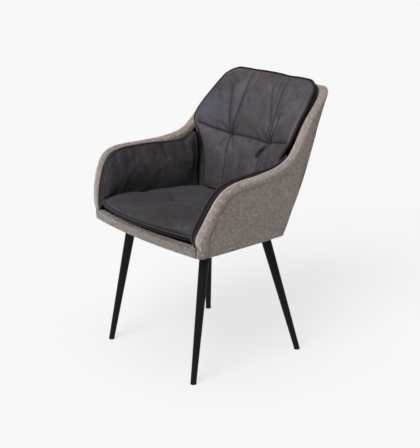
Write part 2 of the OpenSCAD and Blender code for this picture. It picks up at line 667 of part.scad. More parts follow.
// Section of an arm pad as [d, o]: its face from the foot up, over the ridge, to its edge
function pad_face(c, s) = let (l = pad_len(c), t = shell_th(c), e = swell(c), f = t + 1)
    inset([[l, f + 3.6], [l * 0.8, f + 4 + 6 * e], [l * 0.5, f + 4 + 21 * e],
           [l * 0.26, f + 3 + 24 * e], [l * 0.12, f + 3 + 22 * e], [l * 0.045, f + 2 + 19 * e],
           [1, f + 1 + 14 * e], [1, f - 4]], s);
function pad_rear(c) = let (l = pad_len(c), t = shell_th(c), r = t / 2, w = 2.3)
    concat([for (k = [0 : 4]) [lerp(l, r, k / 4), t + w]],
           [for (a = [160, 140, 125]) [r - (r + w) * sin(a), r - (r + w) * cos(a)]]);
arm_run = [for (c = arm_stations) [c, 1]];

module arm_pad_cover() {
    color(leather) slab(grid(arm_run, [for (c = arm_stations) pad_face(c, leather_th)]),
                        grid(arm_run, [for (c = arm_stations) pad_face(c, 0)]));
}
// The foam stops short of the front, where the pad tapers to nothing
foam_stations = [for (c = arm_stations) if (c > 0.15) c];
module arm_pad_foam() {
    run = [for (c = foam_stations) [c, 1]];
    color(foam) slab(grid(run, [for (c = foam_stations) pad_rear(c)]),
                     grid(run, [for (c = foam_stations) pad_face(c, leather_th + gap)]));
}
module arm_pad_piping() {
    color(leather) tube([for (c = arm_stations)
        skin(c, -2.5 - piping_d / 2, shell_th(c) + 2 + 14 * swell(c))], piping_d);
}
module left_arm_pad_foam() { mirror([1, 0, 0]) arm_pad_foam(); }
module right_arm_pad_foam() { arm_pad_foam(); }
module left_arm_pad_cover() { mirror([1, 0, 0]) arm_pad_cover(); }
module right_arm_pad_cover() { arm_pad_cover(); }
module left_arm_pad_piping() { mirror([1, 0, 0]) arm_pad_piping(); }
module right_arm_pad_piping() { arm_pad_piping(); }

seat_board();
front_rail();
left_arm_panel();
right_arm_panel();
back_panel();
panel_brackets();
bracket_screws();
left_shell_foam();
right_shell_foam();
back_shell_foam();
front_band_foam();
left_shell_cover();
right_shell_cover();
back_shell_cover();
front_band_cover();
seat_foam();
seat_cover();
seat_piping();
back_pad_foam();
back_pad_cover();
back_pad_piping();
left_arm_pad_foam();
left_arm_pad_cover();
left_arm_pad_piping();
right_arm_pad_foam();
right_arm_pad_cover();
right_arm_pad_piping();
dust_cover();
dust_cover_staples();
leg_plate(legs[0]);  // leg_plate_front_left
leg_plate(legs[1]);  // leg_plate_front_right
leg_plate(legs[2]);  // leg_plate_rear_left
leg_plate(legs[3]);  // leg_plate_rear_right
leg(legs[0]);  // leg_front_left
leg(legs[1]);  // leg_front_right
leg(legs[2]);  // leg_rear_left
leg(legs[3]);  // leg_rear_right
foot_glide(legs[0]);  // foot_glide_front_left
foot_glide(legs[1]);  // foot_glide_front_right
foot_glide(legs[2]);  // foot_glide_rear_left
foot_glide(legs[3]);  // foot_glide_rear_right
leg_bolts();
tee_nuts();
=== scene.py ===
"""Upholstered armchair for a dining table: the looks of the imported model.

The surfaces below repeat the CAD model's own formulas at a higher resolution, in millimetres,
and meshes are made in metres.  The chair faces -Y and +Z is up."""

import math

import bmesh
import bpy
import numpy as np
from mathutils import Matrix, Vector


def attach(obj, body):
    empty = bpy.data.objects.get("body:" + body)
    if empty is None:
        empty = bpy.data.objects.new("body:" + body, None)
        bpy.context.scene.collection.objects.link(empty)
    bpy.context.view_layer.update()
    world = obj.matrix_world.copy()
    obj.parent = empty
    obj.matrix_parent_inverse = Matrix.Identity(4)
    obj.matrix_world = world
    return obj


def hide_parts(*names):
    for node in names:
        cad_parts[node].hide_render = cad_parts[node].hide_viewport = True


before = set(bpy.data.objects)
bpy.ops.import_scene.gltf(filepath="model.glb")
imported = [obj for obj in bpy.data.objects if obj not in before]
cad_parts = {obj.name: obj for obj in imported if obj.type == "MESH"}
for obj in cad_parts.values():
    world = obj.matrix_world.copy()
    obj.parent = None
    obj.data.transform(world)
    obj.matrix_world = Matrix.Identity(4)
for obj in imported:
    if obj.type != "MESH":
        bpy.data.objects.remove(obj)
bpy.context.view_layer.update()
scene = bpy.context.scene
MM = 0.001

# ---- the CAD model's own sizes, in mm ---------------------------------------------------

OVERALL_D, OVERALL_H, BASE_H, SEAT_TILT = 607.0, 862.0, 412.0, 3.0
FRONT_HALF_W, REAR_HALF_W, SIDE_FLARE, ARM_BELLY = 273.0, 212.0, 0.23, 21.0
SHELL_TOP, CORNER_R, ARM_TH, BACK_TH = 842.0, 30.0, 32.0, 38.0
CORNER_Y = -OVERALL_D / 2 + 36
REAR_Y = 125.0
TOP_REAR_Y = OVERALL_D / 2 - 4.5
ARM_TOP_H = 640.0
BAND_BOW, BAND_TOP = 22.0, 35.0
PIPE_R = 3.0
SLOPE = math.tan(math.radians(SEAT_TILT))


def lerp(a, b, t):
    return a + (b - a) * t


def ease(t):
    u = np.clip(t, 0, 1)
    return u * u * (3 - 2 * u)


def bump(d, width):
    """1 on a line and falling away smoothly over width."""
    return np.exp(-(d / width) ** 2)


def curve(rows, x):
    """Smooth curve through [key, value] rows, level beyond its ends."""
    k, v = np.array(rows, float).T
    x = np.clip(np.asarray(x, float), k[0], k[-1])
    m = np.gradient(v, k)
    i = np.clip(np.searchsorted(k, x, side="right") - 1, 0, len(k) - 2)
    h = k[i + 1] - k[i]
    t = (x - k[i]) / h
    return ((2 * t ** 3 - 3 * t ** 2 + 1) * v[i] + (t ** 3 - 2 * t ** 2 + t) * h * m[i]
            + (3 * t ** 2 - 2 * t ** 3) * v[i + 1] + (t ** 3 - t ** 2) * h * m[i + 1])


def through(p, t):
    """Catmull-Rom curve through points, for t from 0 to 1."""
    p = np.array(p, float)
    s = np.clip(t, 0, 1) * (len(p) - 1)
    i = np.minimum(s.astype(int), len(p) - 2)
    u = (s - i)[..., None]
    a, b = p[np.maximum(i - 1, 0)], p[i]
    c, d = p[i + 1], p[np.minimum(i + 2, len(p) - 1)]
    return 0.5 * (2 * b + (c - a) * u + (2 * a - 5 * b + 4 * c - d) * u * u
                  + (3 * b - a - 3 * c + d) * u ** 3)


def base_z(y):
    return BASE_H - SLOPE * (y - CORNER_Y)


REAR_BASE_H = base_z(REAR_Y)


def below_arm(z):
    """Height that stops growing, softly, at the top of the arms."""
    return -12 * np.log(np.exp(-z / 12 + 50) + np.exp(-ARM_TOP_H / 12 + 50)) + 600


def rise(z):
    return (z - REAR_BASE_H) / (SHELL_TOP - REAR_BASE_H)


def back_y(z):
    s = rise(z)
    return REAR_Y + 60 * s + (TOP_REAR_Y - REAR_Y - 60) * np.maximum(s, 0) ** 2.4


def rear_half(z):
    s = rise(z)
    return REAR_HALF_W + 150 * s - 137 * s * s


def bow(z):
    return curve([[REAR_BASE_H, 25], [450, 39], [575, 41], [700, 38], [SHELL_TOP, 12]], z)


def side_x(y, z):
    h = below_arm(z) - BASE_H
    front = FRONT_HALF_W + SIDE_FLARE * h
    belly = lerp(4, ARM_BELLY, h / (ARM_TOP_H - BASE_H))
    u = (y - CORNER_Y) / (back_y(z) - CORNER_R - CORNER_Y)
    tuck = 14 * (np.maximum(CORNER_Y + 18 - y, 0) / 27) ** 2
    return lerp(front, rear_half(z), u) + belly * 4 * u * (1 - u) - tuck


RIM = [[CORNER_Y, 440], [-275, 475], [-252, 545], [-217, 604], [-165, 628], [-65, 634],
       [15, 641], [80, 660], [122, 698], [172, 757], [back_y(818.0) - CORNER_R, 818]]


def column(c):
    """Foot y, foot z, rim y and rim z of the shell at station c.  Stations 0 to 1 run back
    along the side, 1 to 2 round the rear corner, and 2 to 3 to the middle of the back."""
    r = through(RIM, c)
    turn = np.clip(c - 1, 0, 1) * math.pi / 2
    foot = np.where(c < 1, lerp(CORNER_Y, REAR_Y - CORNER_R, 1 - np.maximum(1 - c, 0) ** 1.25),
                    REAR_Y - CORNER_R * (1 - np.sin(turn))
                    + np.where(c > 2, 25 * (1 - (3 - c) ** 2), 0))
    rim_z = np.where(c < 1, r[..., 1], lerp(818, SHELL_TOP, np.sin(turn)))
    return foot, base_z(foot), np.where(c < 1, r[..., 0], 0), rim_z


def column_len(c):
    foot, foot_z, rim_y, rim_z = column(c)
    return np.hypot(np.where(c < 1, foot - rim_y, 0), foot_z - rim_z)


def skin(c, d, o):
    """Points at station c, d below the rim along the column and o in from the fabric."""
    foot, foot_z, rim_y, rim_z = column(c)
    t = d / column_len(c)
    y, z = lerp(rim_y, foot, t), lerp(rim_z, foot_z, t)
    ro = np.maximum(CORNER_R - o, 3)
    cx = rear_half(z) - np.maximum(CORNER_R, o + 3)
    cy = back_y(z) - np.maximum(CORNER_R, o + 3)
    sweep = math.pi / 2 - np.arctan(2 * bow(z) / (rear_half(z) - CORNER_R / 2))
    f = sweep * np.clip(c - 1, 0, 1)
    v = 3 - c
    x = np.where(c < 1, side_x(y, z) - o,
                 np.where(c <= 2, cx + ro * np.cos(f), (cx + ro * np.cos(sweep)) * v))
    yy = np.where(c < 1, y, np.where(c <= 2, cy + ro * np.sin(f),
                                     cy + ro * np.sin(sweep) + bow(z) * (1 - v * v)))
    return np.stack([x, yy, z], -1)


def shell_th(c):
    return np.where(c < 1, lerp(24, ARM_TH, ease(c / 0.2)), lerp(ARM_TH, BACK_TH, ease(c - 1)))


def in_world(x, y, z):
    """A point of the seat base's own frame, which tilts backward, in the chair's frame."""
    a = math.radians(SEAT_TILT)
    return np.stack([x, CORNER_Y + y * math.cos(a) + z * math.sin(a),
                     BASE_H - y * math.sin(a) + z * math.cos(a)], -1)


# ---- mesh helpers -------------------------------------------------------------------------


def ripple(x, y, z, size, seed):
    """Gentle unevenness from -1 to 1 that is the same on every run."""
    rng = np.random.default_rng(seed)
    total = 0
    for _ in range(7):
        k = rng.normal(size=3)
        k *= 2 * math.pi / (size * rng.uniform(0.7, 1.6) * np.linalg.norm(k))
        total = total + np.sin(k[0] * x + k[1] * y + k[2] * z + rng.uniform(0, 6.3))
    return total / 4


def along(px, py, line):
    """Distance in mm from points to a polyline, and how far along it each is, 0 to 1."""
    line = np.array(line, float)
    run = np.concatenate([[0], np.cumsum(np.hypot(*(line[1:] - line[:-1]).T))])
    best, where = np.full(px.shape, 1e9), np.zeros(px.shape)
    for i in range(len(line) - 1):
        a, e = line[i], line[i + 1] - line[i]
        t = np.clip(((px - a[0]) * e[0] + (py - a[1]) * e[1]) / (e @ e), 0, 1)
        d = np.hypot(px - a[0] - t * e[0], py - a[1] - t * e[1])
        near = d < best
        best = np.where(near, d, best)
        where = np.where(near, (run[i] + t * (run[i + 1] - run[i])) / run[-1], where)
    return best, where


def normals_of(grid):
    du, dv = np.gradient(grid, axis=0), np.gradient(grid, axis=1)
    n = np.cross(du, dv)
    return n / np.maximum(np.linalg.norm(n, axis=-1, keepdims=True), 1e-9)


def make(name, verts, faces, uv=None, painted_light_marks=None):
    """A smooth mesh object from points in mm, with UVs in metres and a mark of painted shade and highlight.
    """
    mesh = bpy.data.meshes.new(name)
    mesh.from_pydata((np.asarray(verts) * MM).tolist(), [], faces)
    mesh.update()
    if uv is not None:
        layer = mesh.uv_layers.new(name="weave")
        index = np.zeros(len(mesh.loops), int)
        mesh.loops.foreach_get("vertex_index", index)
        layer.data.foreach_set("uv", (np.asarray(uv) * MM)[index].ravel())
    if painted_light_marks is not None:
        attribute = mesh.attributes.new("painted_shading", "FLOAT", "POINT")
        attribute.data.foreach_set("value", np.asarray(painted_light_marks, float))
    bm = bmesh.new()
    bm.from_mesh(mesh)
    bmesh.ops.recalc_face_normals(bm, faces=bm.faces[:])
    bm.to_mesh(mesh)
    bm.free()
    mesh.shade_smooth()
    obj = bpy.data.objects.new(name, mesh)
    scene.collection.objects.link(obj)
    return obj


def strip_faces(ni, nj, wrap_i=False, wrap_j=False, start=0):
    """Quads of an ni by nj grid of points, which may close on itself either way."""
    i, j = np.meshgrid(np.arange(ni if wrap_i else ni - 1),
                       np.arange(nj if wrap_j else nj - 1), indexing="ij")
    i2, j2 = (i + 1) % ni, (j + 1) % nj
    return (np.stack([i * nj + j, i2 * nj + j, i2 * nj + j2, i * nj + j2], -1)
            .reshape(-1, 4) + start).tolist()


def border(ni, nj):
    """Indices round the edge of an ni by nj grid, in order."""
    cells = ([(i, 0) for i in range(ni)] + [(ni - 1, j) for j in range(1, nj)]
             + [(i, nj - 1) for i in range(ni - 2, -1, -1)]
             + [(0, j) for j in range(nj - 2, 0, -1)])
    return np.array([i * nj + j for i, j in cells])


def closed_pad(name, front, rings, rear, painted_light_marks):
    """A closed pad: a front grid, rings of boxing behind its edge, and a rear grid."""
    ni, nj = front.shape[:2]
    edge = border(ni, nj)
    n, m = ni * nj, len(edge)
    faces = strip_faces(ni, nj)
    verts = [front.reshape(-1, 3)]
    loops = [edge]
    start = n
    for ring in rings:
        verts.append(ring)
        loops.append(np.arange(start, start + m))
        start += m
    verts.append(rear.reshape(-1, 3))
    loops.append(edge + start)
    faces += [f[::-1] for f in strip_faces(ni, nj, start=start)]
    for a, b in zip(loops[:-1], loops[1:]):
        a2, b2 = np.roll(a, -1), np.roll(b, -1)
        faces += np.stack([a, a2, b2, b], -1).tolist()
    verts = np.concatenate(verts)
    painted_light_mark = np.zeros(len(verts))
    painted_light_mark[:n] = painted_light_marks.ravel()
    # Painted shade: the boxing and rear are fully darkened, as shadow in the gaps round the pad.
    painted_light_mark[n:] = 1.0
    return make(name, verts, faces, painted_light_marks=painted_light_mark)


def tube(name, path, radius, closed=False, sides=12, squash=1.0):
    """A round cord of leather along a path."""
    path = np.asarray(path, float)
    if closed:
        tangent = np.roll(path, -1, 0) - np.roll(path, 1, 0)
    else:
        tangent = np.gradient(path, axis=0)
    tangent /= np.maximum(np.linalg.norm(tangent, axis=1, keepdims=True), 1e-9)
    a = np.cross(tangent, [0.3, 0.2, 0.93])
    a /= np.linalg.norm(a, axis=1, keepdims=True)
    b = np.cross(tangent, a)
    f = np.linspace(0, 2 * math.pi, sides, endpoint=False)
    pts = (path[:, None] + radius * (np.cos(f)[None, :, None] * a[:, None]
                                     + squash * np.sin(f)[None, :, None] * b[:, None]))
    faces = strip_faces(len(path), sides, wrap_i=closed, wrap_j=True)
    verts = pts.reshape(-1, 3)
    if not closed:
        for end, inward in ((0, 1), (len(path) - 1, -1)):
            tip = path[end] - inward * tangent[end] * radius * 0.7
            verts = np.concatenate([verts, [tip]])
            ring = np.arange(sides) + end * sides
            faces += [[int(ring[k]), int(ring[(k + 1) % sides]), len(verts) - 1]
                      for k in range(sides)]
    return make(name, verts, faces, painted_light_marks=np.zeros(len(verts)))


def resample(path, step, closed=False):
    """Points at an even spacing along a path."""
    path = np.asarray(path, float)
    if closed:
        path = np.concatenate([path, path[:1]])
    run = np.concatenate([[0], np.cumsum(np.linalg.norm(np.diff(path, axis=0), axis=1))])
    n = max(int(run[-1] / step), 3)
    s = np.linspace(0, run[-1], n + 1)
    out = np.stack([np.interp(s, run, path[:, k]) for k in range(3)], 1)
    return out[:-1] if closed else out


def stitches(name, path, lift, length=3.4, pitch=5.2, width=0.55):
    """Thread stitches along a path: short rounded lozenges that stand a little proud."""
    pts = resample(path, pitch)
    mid = (pts[1:] + pts[:-1]) / 2
    t = pts[1:] - pts[:-1]
    t /= np.linalg.norm(t, axis=1, keepdims=True)
    verts, faces = [], []
    for p, e, n in zip(mid, t, np.broadcast_to(lift, mid.shape)):
        side = np.cross(e, n)
        side /= np.linalg.norm(side)
        s = len(verts)
        for q, r in ((-0.5, 0.35), (-0.3, 1), (0.3, 1), (0.5, 0.35)):
            for a in (0, 60, 120, 180, 240, 300):
                f = math.radians(a)
                verts.append(p + e * length * q
                             + width * r * (math.cos(f) * side + math.sin(f) * n))
        for k in range(3):
            for j in range(6):
                faces.append([s + k * 6 + j, s + k * 6 + (j + 1) % 6,
                              s + k * 6 + 6 + (j + 1) % 6, s + k * 6 + 6 + j])
        faces += [list(range(s + 5, s - 1, -1)), list(range(s + 18, s + 24))]
    return make(name, verts, faces)


def settle(grid, pins, pressure, cap, slack, frames=14):
    """The cover between its seams as cloth: held where pins is 1, blown up by the foam behind
    it, and cut a little too large so that it puckers.  No point moves more than cap mm."""
    ni, nj = grid.shape[:2]
    obj = make("settling", grid.reshape(-1, 3), strip_faces(ni, nj))
    group = obj.vertex_groups.new(name="held")
    weight = np.round(np.clip(pins, 0, 1).ravel() * 10) / 10
    for w in np.unique(weight):
        if w > 0:
            group.add(np.nonzero(weight == w)[0].tolist(), float(w), "REPLACE")
    cloth = obj.modifiers.new("cloth", "CLOTH")
    s = cloth.settings
    s.quality = 4
    s.mass = 0.25
    s.tension_stiffness = s.compression_stiffness = 12
    s.shear_stiffness = 6
    s.bending_stiffness = 0.6
    s.vertex_group_mass = "held"
    s.use_pressure = True
    s.uniform_pressure_force = pressure
    s.shrink_min = s.shrink_max = -slack
    s.effector_weights.gravity = 0
    cloth.collision_settings.use_collision = False
    cloth.point_cache.frame_start = 1
    cloth.point_cache.frame_end = frames
    for f in range(1, frames + 1):
        scene.frame_set(f)
    shaped = obj.evaluated_get(bpy.context.evaluated_depsgraph_get()).data
    co = np.zeros(len(shaped.vertices) * 3)
    shaped.vertices.foreach_get("co", co)
    moved = co.reshape(ni, nj, 3) / MM - grid
    far = np.linalg.norm(moved, axis=-1, keepdims=True)
    moved *= np.minimum(1, cap / np.maximum(far, 1e-6))
    bpy.data.objects.remove(obj)
    scene.frame_set(1)
    return grid + moved


# ---- materials ----------------------------------------------------------------------------


def srgb(r, g, b):
    """Linear colour of a screen colour from 0 to 255."""
    return [((v / 255 + 0.055) / 1.055) ** 2.4 if v > 10 else v / 255 / 12.92
            for v in (r, g, b)] + [1.0]


class Paint:
    """A node material with one Principled shader."""

    def __init__(self, name):
        self.material = bpy.data.materials.new(name)
        self.material.use_nodes = True
        self.tree = self.material.node_tree
        self.shader = self.tree.nodes["Principled BSDF"]
        self.coords = self.node("ShaderNodeTexCoord")

    def node(self, kind, **inputs):
        n = self.tree.nodes.new(kind)
        for key, value in inputs.items():
            self.feed(n.inputs[key.replace("_", " ")], value)
        return n

    def feed(self, socket, value):
        if hasattr(value, "is_output"):
            self.tree.links.new(value, socket)
        else:
            socket.default_value = value

    def set(self, **values):
        for key, value in values.items():
            self.feed(self.shader.inputs[key.replace("_", " ")], value)

    def place(self, scale, turn=(0, 0, 0), source="Object"):
        m = self.node("ShaderNodeMapping", Scale=scale, Rotation=turn)
        self.tree.links.new(self.coords.outputs[source], m.inputs["Vector"])
        return m.outputs[0]

    def noise(self, scale, detail=3.0, rough=0.55, vector=None, twist=0.0):
        return self.node("ShaderNodeTexNoise", Scale=scale, Detail=detail, Roughness=rough,
                         Distortion=twist, Vector=vector or self.coords.outputs["Object"]
                         ).outputs["Fac"]

    def ramp(self, value, *stops):
        n = self.node("ShaderNodeValToRGB", Fac=value)
        e = n.color_ramp.elements
        while len(e) < len(stops):
            e.new(0.5)
        for i, (at, colour) in enumerate(stops):
            e[i].position = at
            e[i].color = colour if len(colour) == 4 else list(colour) + [1]
        return n.outputs[0]

    def level(self, value, low, high, to_low=0.0, to_high=1.0):
        n = self.node("ShaderNodeMapRange")
        self.feed(n.inputs["Value"], value)
        for key, v in (("From Min", low), ("From Max", high),
                       ("To Min", to_low), ("To Max", to_high)):
            n.inputs[key].default_value = v
        return n.outputs[0]

    def mix(self, fac, a, b, how="MIX"):
        n = self.tree.nodes.new("ShaderNodeMix")
        n.data_type = "RGBA"
        n.blend_type = how
        self.feed(n.inputs[0], fac)
        self.feed(n.inputs[6], a)
        self.feed(n.inputs[7], b)
        return n.outputs[2]

    def math(self, how, a, b=0.5):
        n = self.tree.nodes.new("ShaderNodeMath")
        n.operation = how
        self.feed(n.inputs[0], a)
        self.feed(n.inputs[1], b)
        return n.outputs[0]

    def attribute(self, name):
        n = self.tree.nodes.new("ShaderNodeAttribute")
        n.attribute_name = name
        return n.outputs["Fac"]

    def relief(self, height, distance, strength=1.0, under=None):
        n = self.node("ShaderNodeBump", Height=height, Strength=strength)
        n.inputs["Distance"].default_value = distance
        if under is not None:
            self.tree.links.new(under, n.inputs["Normal"])
        self.tree.links.new(n.outputs[0], self.shader.inputs["Normal"])
        return n.outputs[0]


def woven(name, tint_and_painted_shade=(1.02, 0.96, 0.93)):
    """Chenille tweed of mixed warm and cool grey yarns in a plain weave."""
    p = Paint(name)
    pitch = 1 / 0.0021
    across = p.node("ShaderNodeTexWave", Scale=pitch / 20, Distortion=0.8, Detail=1.0,
                    Vector=p.place((20, 20, 20), source="UV"))
    across.bands_direction = "X"
    up = p.node("ShaderNodeTexWave", Scale=pitch / 20, Distortion=0.8, Detail=1.0,
                Vector=p.place((20, 20, 20), source="UV"))
    up.bands_direction = "Y"
    weave = p.math("MULTIPLY", across.outputs["Fac"], up.outputs["Fac"])
    slub_up = p.noise(1.0, 2.0, 0.6, p.place((300, 62, 1), source="UV"))
    slub_across = p.noise(1.0, 2.0, 0.6, p.place((62, 300, 1), source="UV"))
    which = p.level(p.noise(260.0, 1.0, 0.5, p.place((1, 1, 1), source="UV")), 0.44, 0.56)
    slub = p.math("ADD", p.math("MULTIPLY", slub_up, which),
                  p.math("MULTIPLY", slub_across, p.math("SUBTRACT", 1.0, which)))
    slub = p.level(slub, 0.18, 0.82, 0.0, 1.0)
    yarn = p.ramp(slub, (0.28, srgb(80, 71, 68)), (0.42, srgb(121, 109, 103)),
                  (0.56, srgb(152, 139, 132)), (0.74, srgb(214, 205, 200)))
    mottle = p.noise(34.0, 3.0, 0.6)
    yarn = p.mix(p.level(mottle, 0.3, 0.7, 0.0, 0.35), yarn, srgb(138, 136, 133))
    tone = p.level(p.noise(7.0, 2.0), 0.3, 0.7, 0.90, 1.10)
    yarn = p.mix(1.0, yarn, p.node("ShaderNodeCombineColor", Red=tone, Green=tone,
                                   Blue=tone).outputs[0], "MULTIPLY")
    yarn = p.mix(p.level(weave, 0.0, 0.35, 0.30, 0.0), yarn, srgb(58, 52, 49))
    painted_light_mark = p.attribute("painted_shading")
    # Painted shade darkens the fabric in its grooves and seams.
    yarn = p.mix(p.level(painted_light_mark, 0.0, 1.0, 0.0, 0.6), yarn, srgb(58, 52, 49))
    # Painted highlight: where the painted shading is negative, on the rolled rim, the fabric turns pale.
    painted_rim_highlight = p.mix(1.0, yarn, (1.50, 1.50, 1.54, 1.0), "MULTIPLY")
    painted_rim_highlight = p.mix(0.45, painted_rim_highlight, srgb(164, 156, 155))
    yarn = p.mix(p.level(painted_light_mark, 0.0, -0.45, 0.0, 0.75), yarn, painted_rim_highlight)
    yarn = p.mix(1.0, yarn, (*tint_and_painted_shade, 1.0), "MULTIPLY")
    p.set(Base_Color=yarn, Roughness=p.level(slub, 0.3, 0.7, 0.98, 0.82))
    p.set(Sheen_Weight=0.9, Sheen_Roughness=0.38, Specular_IOR_Level=0.25)
    p.shader.inputs["Sheen Tint"].default_value = srgb(225, 218, 212)
    fibre = p.noise(1400.0, 2.0)
    height = p.math("ADD", p.math("MULTIPLY", weave, 0.6),
                    p.math("ADD", p.math("MULTIPLY", slub, 1.1),
                           p.math("MULTIPLY", fibre, 0.25)))
    p.relief(height, 0.0011, 0.8)
    return p.material


def suede(name, light=1.0):
    """Dark vintage microfibre leather: cloudy nap, a fine grain, and paler edges, partly from wear and
    partly a painted highlight.
    """
    p = Paint(name)
    cloud = p.noise(9.0, 4.0, 0.62, twist=0.6)
    tint = p.noise(5.5, 3.0, 0.55, p.place((1, 1.3, 0.8), (0.4, 0.7, 0.2)), twist=0.4)

    # light scales every colour of the leather: a painted light level, so copies with different light are
    # lit and shaded versions of one microfibre.
    def shade(r, g, b):
        return srgb(r * light, g * light, b * light * 1.02)

    nap = p.ramp(cloud, (0.28, shade(48, 44, 46)), (0.5, shade(67, 62, 66)),
                 (0.74, shade(92, 87, 93)))
    nap = p.mix(p.level(tint, 0.38, 0.66, 0.0, 0.5), nap, shade(74, 65, 65))
    nap = p.mix(p.level(p.noise(4.2, 2.0, 0.5, p.place((1.2, 0.9, 1), (1.1, 0.3, 0.9))),
                        0.45, 0.7, 0.0, 0.45), nap, shade(70, 69, 82))
    brush = p.noise(1.0, 4.0, 0.65, p.place((60, 60, 22), (0.5, 0.2, 0.3)))
    nap = p.mix(p.level(brush, 0.35, 0.75, 0.0, 0.22), nap, shade(118, 114, 118))
    # Pointy edges turn paler: partly edge wear, partly a painted highlight.
    edge_wear_and_highlight = p.node("ShaderNodeNewGeometry").outputs["Pointiness"]
    nap = p.mix(p.level(edge_wear_and_highlight, 0.515, 0.60, 0.0, 0.55), nap, shade(132, 127, 130))
    # Painted shade: the leather goes near black in seams, folds, boxing, gaps and lower parts.
    nap = p.mix(p.math("MULTIPLY", p.attribute("painted_shading"), 0.94), nap, srgb(11, 10, 11))
    dull = p.level(p.attribute("painted_shading"), 0.2, 0.9, 0.0, 0.4)
    p.set(Base_Color=nap, Roughness=p.math("ADD", p.level(cloud, 0.25, 0.75, 0.74, 0.52), dull))
    p.set(Sheen_Weight=0.08, Sheen_Roughness=0.4, Specular_IOR_Level=0.30)
    p.shader.inputs["Sheen Tint"].default_value = srgb(200, 198, 206)
    grain = p.node("ShaderNodeTexVoronoi", Scale=620.0)
    p.tree.links.new(p.coords.outputs["Object"], grain.inputs["Vector"])
    fine = p.relief(p.math("ADD", grain.outputs["Distance"],
                           p.math("MULTIPLY", p.noise(900.0, 2.0), 0.6)), 0.00035, 0.5)
    p.relief(p.noise(38.0, 3.0, 0.5, twist=1.2), 0.0022, 0.35, fine)
    return p.material


def powder_coat(name):
    """Matt black powder-coated steel with a fine texture and faint scuffs."""
    p = Paint(name)
    scuff = p.noise(60.0, 4.0, 0.6, p.place((1, 1, 0.25)))
    p.set(Base_Color=p.ramp(scuff, (0.3, srgb(9, 9, 9)), (0.75, srgb(16, 16, 16))),
          Roughness=p.level(scuff, 0.3, 0.7, 0.52, 0.68))
    p.set(Specular_IOR_Level=0.16)
    p.relief(p.noise(1500.0, 2.0), 0.00012, 0.5)
    return p.material


def moulded(name):
    """Black nylon with a faint mould texture and a rubbed sole."""
    p = Paint(name)
    rub = p.noise(90.0, 3.0)
    p.set(Base_Color=p.ramp(rub, (0.35, srgb(20, 20, 21)), (0.8, srgb(40, 40, 42))),
          Roughness=p.level(rub, 0.3, 0.7, 0.45, 0.7))
    p.relief(p.noise(700.0, 2.0), 0.0001, 0.4)
    return p.material


def plated(name):
    """Zinc-plated steel with a crystalline bloom."""
    p = Paint(name)
    spangle = p.node("ShaderNodeTexVoronoi", Scale=260.0)
    p.tree.links.new(p.coords.outputs["Object"], spangle.inputs["Vector"])
    p.set(Base_Color=p.ramp(spangle.outputs["Distance"], (0.0, srgb(168, 170, 172)),
                            (0.6, srgb(206, 207, 205))),
          Roughness=p.level(p.noise(180.0, 3.0), 0.3, 0.7, 0.28, 0.46))
    p.set(Metallic=1.0)
    p.relief(p.noise(500.0, 2.0), 0.00008, 0.5)
    return p.material


def birch(name):
    """Birch plywood: drawn-out grain with darker glue lines through its thickness."""
    p = Paint(name)
    grain = p.noise(1.0, 5.0, 0.6, p.place((9, 160, 90)), twist=0.3)
    wood = p.ramp(grain, (0.3, srgb(176, 138, 92)), (0.55, srgb(206, 172, 124)),
                  (0.8, srgb(226, 198, 154)))
    plies = p.node("ShaderNodeTexWave", Scale=105.0, Distortion=0.6, Detail=2.0)
    plies.bands_direction = "Z"
    p.tree.links.new(p.coords.outputs["Object"], plies.inputs["Vector"])
    wood = p.mix(p.level(plies.outputs["Fac"], 0.0, 0.22, 0.35, 0.0), wood, srgb(120, 84, 50))
    p.set(Base_Color=wood, Roughness=p.level(grain, 0.3, 0.7, 0.5, 0.72))
    p.relief(grain, 0.0003, 0.5)
    return p.material


def spunbond(name):
    """Black non-woven cloth with its grid of bonded dots."""
    p = Paint(name)
    dots = p.node("ShaderNodeTexVoronoi", Scale=420.0)
    dots.inputs["Randomness"].default_value = 0.15
    p.tree.links.new(p.coords.outputs["Object"], dots.inputs["Vector"])
    fibre = p.noise(1.0, 4.0, 0.7, p.place((700, 240, 300), (0, 0, 0.6)))
    cloth = p.ramp(fibre, (0.3, srgb(20, 20, 21)), (0.7, srgb(44, 44, 46)))
    cloth = p.mix(p.level(dots.outputs["Distance"], 0.12, 0.3, 0.6, 0.0), cloth,
                  srgb(14, 14, 15))
    p.set(Base_Color=cloth, Roughness=0.9)
    p.relief(p.math("ADD", dots.outputs["Distance"], fibre), 0.0004, 0.6)
    return p.material


def thread(name):
    """Twisted polyester thread, a shade lighter than the leather."""
    p = Paint(name)
    twist = p.node("ShaderNodeTexWave", Scale=900.0, Distortion=1.5)
    twist.bands_direction = "DIAGONAL"
    p.tree.links.new(p.coords.outputs["Object"], twist.inputs["Vector"])
    p.set(Base_Color=p.ramp(twist.outputs["Fac"], (0.2, srgb(70, 66, 68)),
                            (0.8, srgb(112, 107, 108))), Roughness=0.6)
    p.relief(twist.outputs["Fac"], 0.0002, 0.6)
    return p.material


FABRIC = woven("tweed")
# The front band's copy is darkened to about half: painted shade on the band, which faces the key light.
BAND_FABRIC = woven("tweed_front", (0.54, 0.525, 0.52))
# These copies differ only in painted light: the back pad is the lit one, seat, arms and piping are darker
# as painted shade, and the near-black copy is painted shadow.
BACK_SUEDE = suede("microfibre_back", 1.0)
SEAT_SUEDE = suede("microfibre_seat", 0.77)
ARM_SUEDE = suede("microfibre_arms", 0.76)
PIPING = suede("piping_leather", 0.60)
PAINTED_SHADE_LEATHER = suede("leather_painted_shade", 0.30)
STEEL = powder_coat("powder_coat")
NYLON = moulded("nylon")
ZINC = plated("zinc_plate")
WOOD = birch("birch_plywood")
CLOTH = spunbond("non_woven")
THREAD = thread("thread")


def finish_piece(obj, material, replaced=()):
    if material:
        obj.data.materials.append(material)
    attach(obj, "root")
    if replaced:
        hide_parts(*replaced)
    return obj


